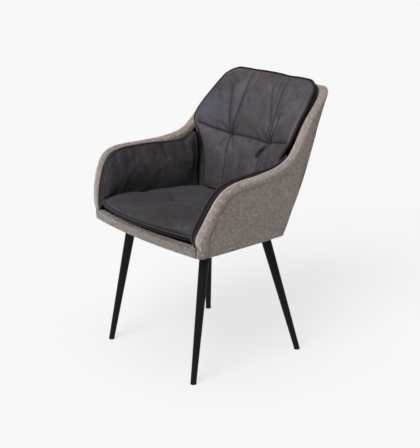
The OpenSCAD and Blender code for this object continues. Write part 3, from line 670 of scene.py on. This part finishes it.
# ---- camera -------------------------------------------------------------------------------

AZIMUTH, ELEVATION, DISTANCE = 50.88, 17.324, 3.30345
target = Vector((0.0166, -0.0271, 0.4107))
az, el = math.radians(AZIMUTH), math.radians(ELEVATION)
camera = bpy.data.objects.new("camera", bpy.data.cameras.new("camera"))
scene.collection.objects.link(camera)
camera.location = target + DISTANCE * Vector((math.sin(az) * math.cos(el),
                                              -math.cos(az) * math.cos(el), math.sin(el)))
camera.rotation_euler = (target - camera.location).to_track_quat("-Z", "Y").to_euler()
camera.data.sensor_fit = "VERTICAL"
camera.data.sensor_height = 36
camera.data.lens = 83.7
camera.data.clip_end = 200
scene.camera = camera

# ---- the shell's fabric -------------------------------------------------------------------

STATIONS = np.concatenate([np.linspace(0, 1, 104)[:-1], np.linspace(1, 2, 17)[:-1],
                           np.linspace(2, 3, 44)])
OUT_ROWS, ROLL_ROWS, IN_ROWS = 92, 18, 14
FRONT_NOSE = 5.0                       # how far the arms' front edges are rounded forward


def shell_section(c):
    """Depths d and o of the closed section of the shell at station c, from its foot."""
    l, r = float(column_len(np.array(c))), float(shell_th(np.array(c))) / 2
    a = np.radians(np.linspace(0, 180, ROLL_ROWS))
    inner = max(l - 64, lerp(r, l, 0.5))
    d = np.concatenate([np.linspace(l, r, OUT_ROWS)[:-1], r - r * np.sin(a),
                        np.linspace(r, inner, IN_ROWS)[1:]])
    o = np.concatenate([np.zeros(OUT_ROWS - 1), r - r * np.cos(a),
                        np.full(IN_ROWS - 1, 2 * r)])
    return d, o


def shell_half():
    d, o = np.array([shell_section(c) for c in STATIONS]).transpose(1, 0, 2)
    c = np.repeat(STATIONS[:, None], d.shape[1], 1)
    pts = skin(c, d, o)
    # Rolled edge: a soft groove follows the rim of the arm, 29 mm inside it
    rim = through(RIM, np.linspace(0, 1, 120))
    rim = np.concatenate([[[CORNER_Y - 1, 395]], rim])
    inside, _ = along(pts[..., 1], pts[..., 2], rim)
    outer = (o < 1) & (c <= 1.0)
    fade = ease((0.80 - c) / 0.35)
    # Painted shade darkens the groove.
    painted_light_mark = np.where(outer, bump(inside - 29, 3.5) * fade, 0)
    groove = np.where(outer, bump(inside - 29, 8) * fade * 2.6
                      - bump(inside - 13, 10) * 1.2 * fade, 0)
    # Seam down each rear corner, and one along the fabric's lower hem
    seam = np.where(o < 1, bump((c - 1.3) * 30, 2.4), 0)
    groove = groove + 2.4 * seam + np.where(o < 1, 1.0 * bump(d[:, :1] - d - 9, 2.5), 0)
    # Painted shade darkens the rear corner seams.
    painted_light_mark = np.maximum(painted_light_mark * 0.7, seam)
    swell = np.where(o < 1, 1, 0) * ripple(pts[..., 0], pts[..., 1], pts[..., 2], 150, 3) * 0.5
    # A painted highlight lightens the rolled rim: negative painted shading there turns the fabric pale.
    round_rim = np.clip((shell_th(c) / 2 + 4 - d) / 16, 0, 1) * (1 - 0.5 * ease(c - 1))
    painted_light_mark = np.where(painted_light_mark > 0.2, painted_light_mark, -0.42 * ease(round_rim))
    n = normals_of(pts)
    toward = np.sign(np.sum(n[50, 20] * np.array([1, 0, 0])))
    pts = pts - toward * n * (groove + swell)[..., None]
    # Rounded front edge: more sections in front of the first, shrinking to the middle
    nose, nose_painted_light = [], []
    for f in np.radians([90, 72, 54, 36, 18]):
        half = shell_th(np.array(0.0)) / 2
        dd, oo = d[0], half + (o[0] - half) * math.cos(f)
        dd = np.where(d[0] < half, half - (half - d[0]) * math.cos(f), d[0])
        q = skin(c[0], dd, oo)
        q[:, 1] -= FRONT_NOSE * math.sin(f)
        nose.append(q)
        nose_painted_light.append(np.zeros(len(q)))
    return (np.concatenate([nose, pts]), np.concatenate([nose_painted_light, painted_light_mark]),
            np.concatenate([np.repeat(d[:1], len(nose), 0), d]))


half, half_painted_light, half_d = shell_half()
mirrored = half[::-1][1:] * np.array([-1, 1, 1])
shell = np.concatenate([half, mirrored])
shell_painted_light = np.concatenate([half_painted_light, half_painted_light[::-1][1:]])


def lay_weave(mesh, pts):
    """Yarns run level and upright on each panel, and along the rim.  A seam parts the sides
    from the back."""
    stations, across = pts.shape[:2]
    top = OUT_ROWS - 6
    rim_v = np.zeros((stations, across))
    rim_v[:, top + 1:] = np.cumsum(np.linalg.norm(np.diff(pts[:, top:], axis=1), axis=2), 1)
    step = np.linalg.norm(np.diff(pts[:, OUT_ROWS], axis=0), axis=1)
    rim_u = np.repeat(np.concatenate([[0], np.cumsum(step)])[:, None], across, 1)
    vert = np.zeros(len(mesh.loops), int)
    mesh.loops.foreach_get("vertex_index", vert)
    strip, row = np.divmod(np.repeat(np.arange(len(mesh.polygons)), 4), across)
    back = (strip >= REAR_SEAM) & (strip < stations - 1 - REAR_SEAM)
    on_rim = (row >= top) & (row < across - 1)
    u = np.where(back, pts[..., 0].ravel()[vert], pts[..., 1].ravel()[vert])
    u = np.where(on_rim, rim_u.ravel()[vert], u)
    v = np.where(on_rim, rim_v.ravel()[vert], pts[..., 2].ravel()[vert])
    layer = mesh.uv_layers.new(name="weave")
    layer.data.foreach_set("uv", (np.stack([u, v], -1) * MM).ravel())


REAR_SEAM = 113                        # the station of the seam down each rear corner
n_st, n_sec = shell.shape[:2]
faces = strip_faces(n_st, n_sec, wrap_j=True)
upholstery = make("shell_upholstery", shell.reshape(-1, 3), faces, painted_light_marks=shell_painted_light.ravel())
lay_weave(upholstery.data, shell)
# Inside, behind the pads, the turned-in fabric ends and black lining takes over
upholstery.data.materials.append(FABRIC)
upholstery.data.materials.append(CLOTH)
row = np.tile(np.arange(n_sec), n_st - 1)
lined = (row >= OUT_ROWS + ROLL_ROWS + 1).astype(np.int32)
upholstery.data.polygons.foreach_set("material_index", lined)
finish_piece(upholstery, None,
             ["left_shell_cover", "right_shell_cover", "back_shell_cover",
              "left_shell_foam", "right_shell_foam", "back_shell_foam"])

# ---- the front band -----------------------------------------------------------------------

BAND_HALF = 257.0
BAND_CREST = 32.0                      # a little under the CAD band, to show the dark gap


def band_y(x):
    return CORNER_Y - 5 - (BAND_BOW - 2) * (1 - (x / 262) ** 2)


def band_piece():
    x = np.linspace(-BAND_HALF, BAND_HALF, 150)
    thick = lerp(5, 22, ease((236 - np.abs(x)) / 12 + 1))
    r = np.minimum(thick / 2, 8)
    a = np.radians(np.linspace(0, 180, 15))
    rows = 20
    z = np.concatenate([np.linspace(0, 1, rows)[None, :-1] * (BAND_CREST - r)[:, None],
                        (BAND_CREST - r)[:, None] + r[:, None] * np.sin(a),
                        np.linspace(1, 0.4, 5)[None, 1:] * (BAND_CREST - r)[:, None]], 1)
    depth = np.concatenate([np.zeros((len(x), rows - 1)),
                            thick[:, None] / 2 * (1 - np.cos(a)),
                            np.repeat(thick[:, None], 4, 1)], 1)
    y = band_y(x)[:, None] + depth
    xx = np.repeat(x[:, None], z.shape[1], 1)
    low = bump(z - 9, 2.5) * (depth < 0.5)
    puff = 1.4 * np.sin(np.pi * np.clip(z / BAND_CREST, 0, 1)) * (depth < 0.5)
    y = y + 0.9 * low - puff + 0.4 * ripple(xx, y, z, 70, 5) * (depth < 0.5)
    pts = np.stack([xx, y, base_z(y) + z], -1)
    n = len(a) + rows + 3
    uv = np.stack([xx, np.cumsum(np.concatenate(
        [np.zeros((len(x), 1)), np.linalg.norm(np.diff(pts, axis=1), axis=2)], 1), 1)], -1)
    # Painted shade darkens the band's ends, where they meet the arms.
    return make("front_band", pts.reshape(-1, 3), strip_faces(len(x), n, wrap_j=True)
                + [list(range(n)), list(range(len(x) * n - 1, (len(x) - 1) * n - 1, -1))],
                uv.reshape(-1, 2), (bump(np.abs(xx) - 255, 3)).ravel())


finish_piece(band_piece(), BAND_FABRIC, ["front_band_cover", "front_band_foam"])

# ---- pads ---------------------------------------------------------------------------------


def padded_square(ni, nj, corner):
    """Grid over a square with rounded corners, closer together near its edges."""
    def spread(n):
        t = np.linspace(-1, 1, n)
        return np.sign(t) * (1 - (1 - np.abs(t)) ** 1.35)
    u, v = np.meshgrid(spread(ni), spread(nj), indexing="ij")
    s = np.maximum(np.maximum(np.abs(u), np.abs(v)), 1e-9)
    a, b = (np.abs(u) / s - 1 + corner) / corner, (np.abs(v) / s - 1 + corner) / corner
    both = (a > 0) & (b > 0)
    h = np.hypot(a, b)
    p = np.where(both, (1 - corner + corner * a / np.maximum(h, 1e-9)) * s * np.sign(u), u)
    q = np.where(both, (1 - corner + corner * b / np.maximum(h, 1e-9)) * s * np.sign(v), v)
    return p, q, s


def seam_relief(x, y, seams, folds, tufts):
    """How deep the sewn lines pull the cover in, the painted shade in them, and where it is held."""
    wide, fine = np.zeros(x.shape), np.zeros(x.shape)
    painted_light_mark, pins = np.zeros(x.shape), np.zeros(x.shape)
    for line, valley, depth in seams:
        d, _ = along(x, y, line)
        wide = np.maximum(wide, valley * np.exp(-d / 17) * (1 - 0.25 * bump(d, 3)))
        fine = np.maximum(fine, depth * bump(d, 2.6))
        # Painted shade along the seam creases.
        painted_light_mark = np.maximum(painted_light_mark, 0.88 * bump(d, 2.3 + 0.28 * max(depth - 3, 0))
                          * min(depth / 3, 1))
        pins = np.maximum(pins, bump(d, 5.0))
    for line, depth, width in folds:
        d, t = along(x, y, line)
        taper = np.minimum(1, 5 * (1 - t)) * np.minimum(1, 0.35 + 3 * t)
        fine = np.maximum(fine, depth * taper * bump(d, width))
        deep = min(max(depth - 5, 0) / 5, 1)
        painted_light_mark = np.maximum(painted_light_mark, lerp(0.5, 0.92, deep) * taper
                          * bump(d, width * lerp(0.35, 0.95, deep)) * min(depth / 5, 1))
        pins = np.maximum(pins, 0.7 * taper * bump(d, width))
    for tx, ty, depth, width in tufts:
        d = np.hypot(x - tx, y - ty)
        wide = wide + depth * (0.55 * bump(d, width) + 0.45 * bump(d, width * 0.4))
        painted_light_mark = np.maximum(painted_light_mark, bump(d, 4.5))
        pins = np.maximum(pins, bump(d, 9.0))
    return wide, fine, painted_light_mark, pins


def crown(s, height, sharp=5.0, power=0.42):
    return height * np.maximum(1 - s ** sharp, 0) ** power


# Back pad.  Lines are [x, z] in mm on its face.
PAD_HALF = [[472, 150], [520, 160], [600, 178], [640, 194], [665, 211], [690, 228],
            [720, 232], [750, 228], [782, 222], [816, 213], [842, 203], [862, 184]]
PAD_WRAP = [[472, 4], [520, 10], [600, 26], [660, 46], [700, 59], [750, 50],
            [782, 39], [820, 27], [862, 12]]
PAD_MID = [[472, 88], [560, 119], [662, 155], [702, 170], [750, 195], [782, 215],
           [820, 239], [862, 268]]
PAD_BOTTOM, PAD_TOP = 482.0, OVERALL_H - 6
BACK_SEAMS = [
    ([(-236, 689), (-162, 671), (-88, 661), (0, 662), (96, 661), (165, 676), (236, 690)], 10, 4),
    ([(-88, 661), (-82, 700), (-84, 750), (-92, 800), (-99, 858)], 7, 3.6),
    ([(96, 661), (104, 700), (90, 750), (74, 800), (70, 858)], 7, 3.6),
    ([(-88, 661), (-85, 620), (-83, 590), (-76, 552), (-68, 480)], 6, 2.8),
    ([(96, 661), (82, 620), (75, 596), (70, 552), (66, 480)], 6, 2.8)]
BACK_FOLDS = [
    ([(-93, 666), (-101, 696), (-125, 751), (-147, 793), (-153, 824)], 6.5, 10),
    ([(90, 668), (83, 718), (52, 765), (24, 810), (10, 838)], 5.5, 8),
    ([(99, 664), (117, 689), (124, 716), (123, 748)], 11.0, 6),
    ([(91, 657), (74, 630), (58, 600)], 11.0, 6),
    ([(-95, 655), (-108, 634), (-117, 608)], 5.0, 7),
    ([(-84, 657), (-66, 636), (-56, 610)], 3.5, 7),
    ([(97, 655), (113, 636), (122, 612)], 3.5, 7),
    ([(-97, 668), (-122, 684), (-150, 692)], 3.0, 7),
    ([(-84, 669), (-62, 686), (-46, 706)], 3.0, 7),
    ([(84, 669), (64, 684), (50, 700)], 3.0, 7),
    ([(50, 846), (50, 815), (56, 782)], 2.6, 5),
    ([(32, 848), (33, 822), (38, 800)], 2.2, 4.5),
    ([(-62, 848), (-60, 815), (-62, 790)], 2.2, 5),
    ([(-14, 600), (-8, 570), (-5, 545)], 1.8, 8)]
BACK_TUFTS = [(-88, 661, 15, 22), (96, 661, 15, 22)]


def pad_front(x, z):
    return curve(PAD_MID, z) - curve(PAD_WRAP, z) * (np.abs(x) / curve(PAD_HALF, z)) ** 2.2


def shell_front(x, z):
    zz = np.minimum(z, SHELL_TOP)
    return back_y(zz) - BACK_TH + bow(zz) * (1 - (x / 215) ** 2)


def top_dip(x, z):
    """The top edge sinks a little where the upright seams meet it."""
    near = 0.4 * bump(x + 96, 26) + bump(x - 62, 34)
    return 2.2 * near * ease((z - 790) / 66)


def back_pad():
    ni, nj = 150, 190
    p, q, s = padded_square(ni, nj, 0.16)
    z = (PAD_BOTTOM + PAD_TOP) / 2 + (PAD_TOP - PAD_BOTTOM) / 2 * q
    x = curve(PAD_HALF, z) * p
    z = z - top_dip(x, z)
    y = pad_front(x, z)
    wide, fine, painted_light_mark, pins = seam_relief(x, z, BACK_SEAMS, BACK_FOLDS, BACK_TUFTS)
    # Painted shade: the lower part of the back grows darker towards the seat.
    painted_light_mark = np.maximum(painted_light_mark, 0.30 * ease((655 - z) / 150))
    edge = ease((1 - s) * 14)
    out = crown(s, 15, 7) - wide * edge
    flat = np.stack([x, y, z], -1)
    n = normals_of(flat)
    n = n * -np.sign(n[..., 1:2])
    pins = np.maximum(pins, bump((1 - s) * 190, 7))
    face = settle(flat + n * out[..., None], pins, 2.5, 6, 0.004)
    n2 = normals_of(face)
    n2 = n2 * -np.sign(n2[..., 1:2])
    face = face - n2 * (fine * edge)[..., None]
    loop = border(ni, nj)
    bx, by, bz = flat.reshape(-1, 3)[loop].T
    middle = np.array([0, 0, (PAD_BOTTOM + PAD_TOP) / 2])
    rings = []
    for t, grow in ((0.0, -1.0), (0.14, 1.5), (0.5, 1.5), (0.9, -3.0)):
        rear = np.maximum(np.minimum(shell_front(bx, bz) - 2, by + 60), by + 15)
        k = 1 + grow / 190
        rings.append(np.stack([bx * k, lerp(by + 1, rear, t),
                               middle[2] + (bz - middle[2]) * k], 1))
    rx, rz = x * 0.95, middle[2] + (z - middle[2]) * 0.95
    rear = np.maximum(np.minimum(shell_front(rx, rz) - 2, y + 60), y + 15)
    pad = closed_pad("back_pad", face, rings, np.stack([rx, rear, rz], -1), painted_light_mark * edge)
    outline = np.stack([bx * (1 + 2.6 / 190), by + 1.5, middle[2] + (bz - middle[2])
                        * (1 + 2.6 / 190)], 1)
    return pad, resample(outline, 4, True), (x, z, face, n2)


back, back_outline, back_face = back_pad()
finish_piece(back, BACK_SUEDE, ["back_pad_cover", "back_pad_foam"])
# The edging takes the near-black copy of the leather: painted shade.
finish_piece(tube("back_pad_edging", back_outline, PIPE_R + 0.5, True), PAINTED_SHADE_LEATHER,
             ["back_pad_piping"])

# Seat cushion.  Lines are [x, y] in mm, seen from above.
PIPE_Z, SEAT_LEN, SEAT_BOW, CUSHION_CROWN = 58.0, 365.0, 33.0, 34.0
# The cushion spreads until its sides meet the arm pads
SEAT_HALF = [[0, 238], [25, 227], [60, 230], [110, 231], [160, 226], [260, 210], [365, 197]]
SEAT_SEAMS = [([(-215, -122), (-120, -142), (-46, -133), (20, -110), (75, -120),
                (118, -138), (205, -168)], 11.0, 4.0)]
SEAT_FOLDS = [
    ([(-46, -133), (-92, -98), (-145, -66)], 6.5, 8),
    ([(-44, -137), (-36, -190), (-30, -262)], 2.6, 7),
    ([(-50, -136), (-90, -160), (-128, -196)], 3.8, 9),
    ([(118, -138), (150, -108), (168, -60)], 4.5, 9),
    ([(92, -276), (118, -300), (138, -318)], 4.0, 6),
    ([(-20, -282), (-4, -306), (6, -324)], 2.6, 6),
    ([(-150, -252), (-142, -284), (-140, -300)], 2.6, 7),
    ([(178, -248), (194, -268), (206, -286)], 3.4, 6)]
SEAT_TUFTS = [(-46, -133, 9.5, 20)]


def seat_plan(p, q, z, scale=1.0):
    y0 = SEAT_LEN / 2 * (1 + q)
    w = curve(SEAT_HALF, y0)
    y1 = y0 - np.where(q < 0, -q * SEAT_BOW * (1 - p * p), 0)
    return in_world(w * p * scale, SEAT_LEN / 2 + (y1 - SEAT_LEN / 2) * scale, z)


def seat_cushion():
    ni, nj = 170, 150
    p, q, s = padded_square(ni, nj, 0.06)
    soft = (np.abs(p) ** 7 + np.abs(q) ** 7) ** (1 / 7)
    soft = np.minimum(np.maximum(soft, s * 0.0), 1) * s ** 0.25
    soft = np.where(s > 0.999, 1, np.minimum(soft, 0.9995))
    flat = seat_plan(p, q, PIPE_Z)
    wide, fine, painted_light_mark, pins = seam_relief(flat[..., 0], flat[..., 1], SEAT_SEAMS, SEAT_FOLDS,
                                         SEAT_TUFTS)
    edge = ease((1 - s) * 12)
    z = PIPE_Z + crown(soft, CUSHION_CROWN, 7, 0.38) - wide * edge
    z = z + edge * 1.2 * ripple(flat[..., 0], flat[..., 1], 0 * z, 160, 11)
    # The front rolls out over its piping
    roll = 13 * ease((-q - 0.55) / 0.4) * np.sin(np.pi * np.clip((z - PIPE_Z) / 34, 0, 1))
    top = seat_plan(p, q, z)
    top[..., 1] -= roll
    pins = np.maximum(pins, bump((1 - s) * 200, 6))
    face = settle(top, pins, 2.5, 5, 0.004)
    n = normals_of(face)
    n = n * np.sign(np.mean(n[..., 2]))
    face = face - n * (fine * edge)[..., None]
    loop = border(ni, nj)
    bp, bq = p.ravel()[loop], q.ravel()[loop]
    rings = [seat_plan(bp, bq, PIPE_Z - 3, 0.992), seat_plan(bp, bq, PIPE_Z - 8, 1.0),
             seat_plan(bp, bq, BAND_TOP + 8, 0.992), seat_plan(bp, bq, BAND_TOP + 3, 0.985),
             seat_plan(bp, bq, BAND_TOP - 14, 0.98)]
    for ring in rings[3:]:
        ring[:, 1] = np.maximum(ring[:, 1], band_y(ring[:, 0]) + 24)
    rear = seat_plan(p * 0.95, q * 0.95, BAND_TOP - 16.0)
    rear[..., 1] = np.maximum(rear[..., 1], band_y(rear[..., 0]) + 28)
    # Painted shade on the front face just above the piping, under the roll.
    under = 0.62 * ease((-q - 0.90) / 0.08) * ease((1 - (z - PIPE_Z) / 26))
    cushion = closed_pad("seat_cushion", face, rings, rear, np.maximum(painted_light_mark * edge, under))
    outline = seat_plan(bp, bq, PIPE_Z - 1, 1 + 2.8 / 190)
    return cushion, resample(outline, 4, True), (flat, face, n)


seat, seat_outline, seat_face = seat_cushion()
finish_piece(seat, SEAT_SUEDE, ["seat_cover", "seat_foam"])
finish_piece(tube("seat_edging", seat_outline, PIPE_R, True), PIPING,
             ["seat_piping"])

# Arm pads.  Folds are [y, z] in mm on their inner faces.
PAD_FOOT = 46.0
ARM_FROM = 0.04
RIDGE_DROP = 5.5                       # the pads' edging below the crest of the rim
ARM_FOLDS = [([(-20, 634), (-16, 606), (-4, 572)], 4.5, 7),
             ([(-196, 618), (-194, 600), (-190, 582)], 2.2, 6),
             ([(-150, 626), (-149, 600), (-142, 570)], 1.8, 8),
             ([(-92, 630), (-96, 598), (-90, 570)], 1.8, 8),
             ([(62, 640), (58, 612), (62, 585)], 2.6, 8),
             ([(-214, 590), (-196, 560), (-185, 530)], 1.5, 9)]


def ridge_drop(c):
    """The pads' top edge sinks below the rim's crest towards the back."""
    return RIDGE_DROP + 19 * ease((c - 0.48) / 0.25)


def arm_pad(side, name):
    cols, rows = 140, 96
    t = np.linspace(0, 1, rows)[None, :]
    ends = np.linspace(0, 1, cols)[:, None]
    # The rear end stands upright beside the back pad, so low rows run to later stations
    last = lerp(0.925, 0.75, t ** 0.8)

    def stations(limit):
        return ARM_FROM + (limit - ARM_FROM) * ends

    c = stations(last)
    foot, foot_z, rim_y, rim_z = column(c)
    l = column_len(c) * (1 - PAD_FOOT / np.maximum(rim_z - foot_z, PAD_FOOT * 1.15))
    e = ease(c / 0.16) * lerp(0.55, 1, ease((1 - ends) / 0.10))
    f = shell_th(c) + 1
    face_rows = [[1, 3.6, 0], [0.8, 4, 6], [0.5, 4, 21], [0.26, 3, 24], [0.12, 3, 22.5],
                 [0.045, 2.6, 20.0], [0.0, 3.0, 16.5]]
    key = np.linspace(0, 1, len(face_rows))
    parts = [curve(list(zip(key, col)), t ** 1.15) for col in np.array(face_rows).T]
    face = skin(c, parts[0] * (l - ridge_drop(c)) + ridge_drop(c), f + parts[1] + parts[2] * e)
    _, fine, painted_light_mark, pins = seam_relief(face[..., 1], face[..., 2], [], ARM_FOLDS, [])
    edge = np.minimum(1, 6 * t) * np.minimum(1, 8 * (1 - t))
    pins = np.maximum(pins, np.maximum(bump(t * 90, 6), bump((1 - t) * 60, 6)))
    pins = np.maximum(pins, np.maximum(bump(ends * 160, 8), bump((1 - ends) * 160, 8)))
    n = normals_of(face)
    toward = -np.sign(np.mean(n[..., 0]))
    face = settle(face, pins, 1.5 * toward, 3, 0.003)
    n = normals_of(face) * toward
    face = face - n * (fine * edge)[..., None]
    # Edging side: over the ridge, down into the gap beside the rim, and back to the foot
    c1 = stations(0.75)
    l1, th = l[:, -1:], shell_th(c1)
    e1 = ease(c1 / 0.16) * lerp(0.55, 1, ease((1 - ends) / 0.10))
    low = lerp(c1, c[:, :1], np.array([[0, 0, 0, 0.3, 0.7, 1]]))
    drop = ridge_drop(c1) + np.array([[-1.0, 2.0, 7.0]])
    rear_d = np.concatenate([drop, np.maximum(th, drop[:, -1:] + 4), lerp(l1, th, 0.5), l[:, :1] * 0.98], 1)
    rear_o = np.concatenate([th + 3 + 13 * e1, th + 1 + 4 * e1, th - 1, th + 1, th + 1,
                             th + 1], 1)
    rear = skin(low, rear_d, rear_o)
    pts = np.concatenate([face, rear], 1) * np.array([side, 1, 1])
    m = pts.shape[1]
    caps = [list(range(m)), list(range(cols * m - 1, (cols - 1) * m - 1, -1))]
    # Painted shade: the edging side is near black, and the face darkens towards its lower rear.
    painted_light_marks = np.full((cols, m), 0.95)
    painted_light_marks[:, :rows] = np.maximum(painted_light_mark * edge, 0.88 * ease((0.58 - t) / 0.56)
                                 * ease(ends / 0.5 + 0.05))
    pad = make(name, pts.reshape(-1, 3), strip_faces(cols, m, wrap_j=True) + caps,
               painted_light_marks=painted_light_marks.ravel())
    ridge = skin(c1, ridge_drop(c1) - 2, th + 4 + 16 * e1)[:, 0] * np.array([side, 1, 1])
    # A near-black cord beside the rim: painted shadow for the gap between the pad and the fabric.
    shadow_cord = skin(c1, ridge_drop(c1) + 3, th + 2.5 + 3 * e1)[:, 0] * np.array([side, 1, 1])
    return pad, resample(ridge, 4), resample(shadow_cord, 4)


for side, word in ((-1, "left"), (1, "right")):
    pad, ridge, shadow_cord = arm_pad(side, word + "_arm_pad")
    finish_piece(pad, ARM_SUEDE, [word + "_arm_pad_cover", word + "_arm_pad_foam"])
    finish_piece(tube(word + "_arm_pad_edging", ridge, 2.4), PIPING,
                 [word + "_arm_pad_piping"])
    # The cord is near black, a painted shadow in the gap beside the rim.
    finish_piece(tube(word + "_arm_pad_shadow_cord", shadow_cord, 4.2), PAINTED_SHADE_LEATHER)

# ---- underside ----------------------------------------------------------------------------


CLOTH_IN = 1.2                         # the cloth's edge, in from the shell's outer fabric


def dust_cloth():
    """The black cloth stapled under the seat, drawn tight with a few shallow pulls."""
    c = np.concatenate([np.linspace(0.05, 1, 26), np.linspace(1.04, 2, 25),
                        np.linspace(2.05, 3, 20)])
    half_edge = skin(c, column_len(c), CLOTH_IN)
    y = half_edge[:, 1]
    rows = np.sin(np.linspace(0, math.pi / 2, 110))    # closer together at the rear
    y_rear = np.max(y)
    ys = lerp(CORNER_Y + 2, y_rear - 0.2, rows)
    width = np.interp(ys, np.sort(y), half_edge[:, 0][np.argsort(y)])
    u = np.linspace(-1, 1, 70)
    x = width[:, None] * u[None, :]
    yy = np.repeat(ys[:, None], len(u), 1)
    front = np.maximum(0, 1 - rows / 0.12)[:, None]
    yy = yy - front * (yy - (band_y(x) + CLOTH_IN)) * ease(front)
    sag = 0.35 * (1 - u[None, :] ** 2) * np.sin(np.pi * rows)[:, None]
    pulls = 0.3 * ripple(x, yy, 0 * x, 60, 21) * (1 - u[None, :] ** 4)
    z = base_z(yy) + 0.75 - sag + np.minimum(pulls, 0.3)
    pts = np.stack([x, yy, z], -1)
    area = float(np.sum(np.linalg.norm(np.cross(np.diff(pts, axis=0)[:, :-1],
                                                np.diff(pts, axis=1)[:-1]), axis=-1))) * 1e-6
    size = (float(np.ptp(x)) * MM, float(np.hypot(np.ptp(yy), np.ptp(base_z(yy)))) * MM)
    obj = make("underside_cloth", pts.reshape(-1, 3), strip_faces(len(ys), len(u)))
    finish_piece(obj, CLOTH, ["dust_cover"])
    return size, area


cloth_size, cloth_area = dust_cloth()
print("underside cloth", [round(v, 3) for v in cloth_size], round(cloth_area, 4))

# ---- stitching ----------------------------------------------------------------------------


def on_face(x, y, face, n, line, a, b):
    """Points of a pad's face along a line drawn in two of its coordinates, just above it."""
    line = np.array(line, float)
    run = np.concatenate([[0], np.cumsum(np.hypot(*(line[1:] - line[:-1]).T))])
    s = np.arange(a * run[-1], b * run[-1], 3.0)
    px, py = np.interp(s, run, line[:, 0]), np.interp(s, run, line[:, 1])
    fx, fy = x.ravel(), y.ravel()
    out = []
    for u, v in zip(px, py):
        d = (fx - u) ** 2 + (fy - v) ** 2
        k = np.argpartition(d, 4)[:4]
        w = 1 / (d[k] + 0.3)
        out.append((np.sum(face.reshape(-1, 3)[k] * w[:, None], 0)
                    + 0.5 * np.sum(n.reshape(-1, 3)[k] * w[:, None], 0)) / np.sum(w))
    return np.array(out)


def shifted(line, across, up):
    return [(x + across, y + up) for x, y in line]


def sew(name, x, y, face, n, lines):
    parts = []
    for i, (line, a, b) in enumerate(lines):
        parts.append(stitches(f"{name}_{i}", on_face(x, y, face, n, line, a, b),
                              np.array([0.0, -0.8, 0.6])))
    for obj in parts[1:]:
        obj.select_set(True)
    with bpy.context.temp_override(active_object=parts[0], object=parts[0],
                                   selected_editable_objects=parts):
        bpy.ops.object.join()
    parts[0].name = name
    finish_piece(parts[0], THREAD)


bx, bz, bface, bn = back_face
sew("back_pad_stitching", bx, bz, bface, bn,
    [(shifted(BACK_SEAMS[0][0], 0, -5), 0.03, 0.30), (shifted(BACK_SEAMS[0][0], 0, -5), 0.34, 0.66),
     (shifted(BACK_SEAMS[0][0], 0, -5), 0.70, 0.97),
     (shifted(BACK_SEAMS[1][0], -5, 0), 0.12, 0.95), (shifted(BACK_SEAMS[2][0], 5, 0), 0.12, 0.95)])
sflat, sface, sn = seat_face
sew("seat_stitching", sflat[..., 0], sflat[..., 1], sface, sn,
    [(shifted(SEAT_SEAMS[0][0], 0, -5), 0.05, 0.95)])

# ---- carried-over CAD nodes ---------------------------------------------------------------

FINISH = {"zinc": ZINC, "plywood": WOOD, "steel": STEEL, "nylon": NYLON}
for node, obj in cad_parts.items():
    if node in ("panel_brackets", "bracket_screws", "dust_cover_staples", "leg_bolts",
                "tee_nuts"):
        kind = "zinc"
    elif node.startswith("leg_"):
        kind = "steel"
    elif node.startswith("foot_glide"):
        kind = "nylon"
    else:
        kind = "plywood"
    if not obj.data.materials:
        obj.data.materials.append(FINISH[kind])
    for slot_ in obj.material_slots:
        slot_.material = FINISH[kind]

# ---- floor and light ----------------------------------------------------------------------


def floor():
    p = Paint("studio_floor")
    speck = p.noise(3.0, 2.0)
    p.set(Base_Color=p.ramp(speck, (0.0, srgb(136, 136, 136)), (1.0, srgb(139, 139, 139))),
          Roughness=0.9)
    p.set(Specular_IOR_Level=0.0, Emission_Strength=0.685)
    p.shader.inputs["Emission Color"].default_value = (1, 1, 1, 1)
    ring = [(60 * math.cos(a), 60 * math.sin(a), -0.0004)
            for a in np.linspace(0, 2 * math.pi, 64, endpoint=False)]
    mesh = bpy.data.meshes.new("studio_floor")
    mesh.from_pydata(ring, [], [list(range(64))])
    obj = bpy.data.objects.new("studio_floor", mesh)
    scene.collection.objects.link(obj)
    mesh.materials.append(p.material)


def sun(name, azimuth, elevation, strength, spread):
    """A soft lamp far away; azimuth 0 is in front of the chair, 90 to its left as we face it."""
    light = bpy.data.lights.new(name, "SUN")
    light.energy = strength
    light.angle = math.radians(spread)
    obj = bpy.data.objects.new(name, light)
    a, e = math.radians(azimuth), math.radians(elevation)
    way = Vector((math.sin(a) * math.cos(e), -math.cos(a) * math.cos(e), math.sin(e)))
    obj.rotation_euler = (-way).to_track_quat("-Z", "Y").to_euler()
    scene.collection.objects.link(obj)


floor()
sun("key", 20, 42, 2.4, 36)
sun("top", 20, 84, 1.1, 50)
world = bpy.data.worlds.new("studio")
scene.world = world
world.use_nodes = True
background = world.node_tree.nodes["Background"]
background.inputs["Color"].default_value = (1, 1, 1, 1)
# The studio walls look as pale as the floor, and light the chair only a little
path = world.node_tree.nodes.new("ShaderNodeLightPath")
walls = world.node_tree.nodes.new("ShaderNodeMapRange")
walls.inputs["To Min"].default_value = 0.14
walls.inputs["To Max"].default_value = 0.93
world.node_tree.links.new(path.outputs["Is Camera Ray"], walls.inputs["Value"])
world.node_tree.links.new(walls.outputs[0], background.inputs["Strength"])
scene.view_settings.view_transform = "Standard"
scene.view_settings.look = "None"
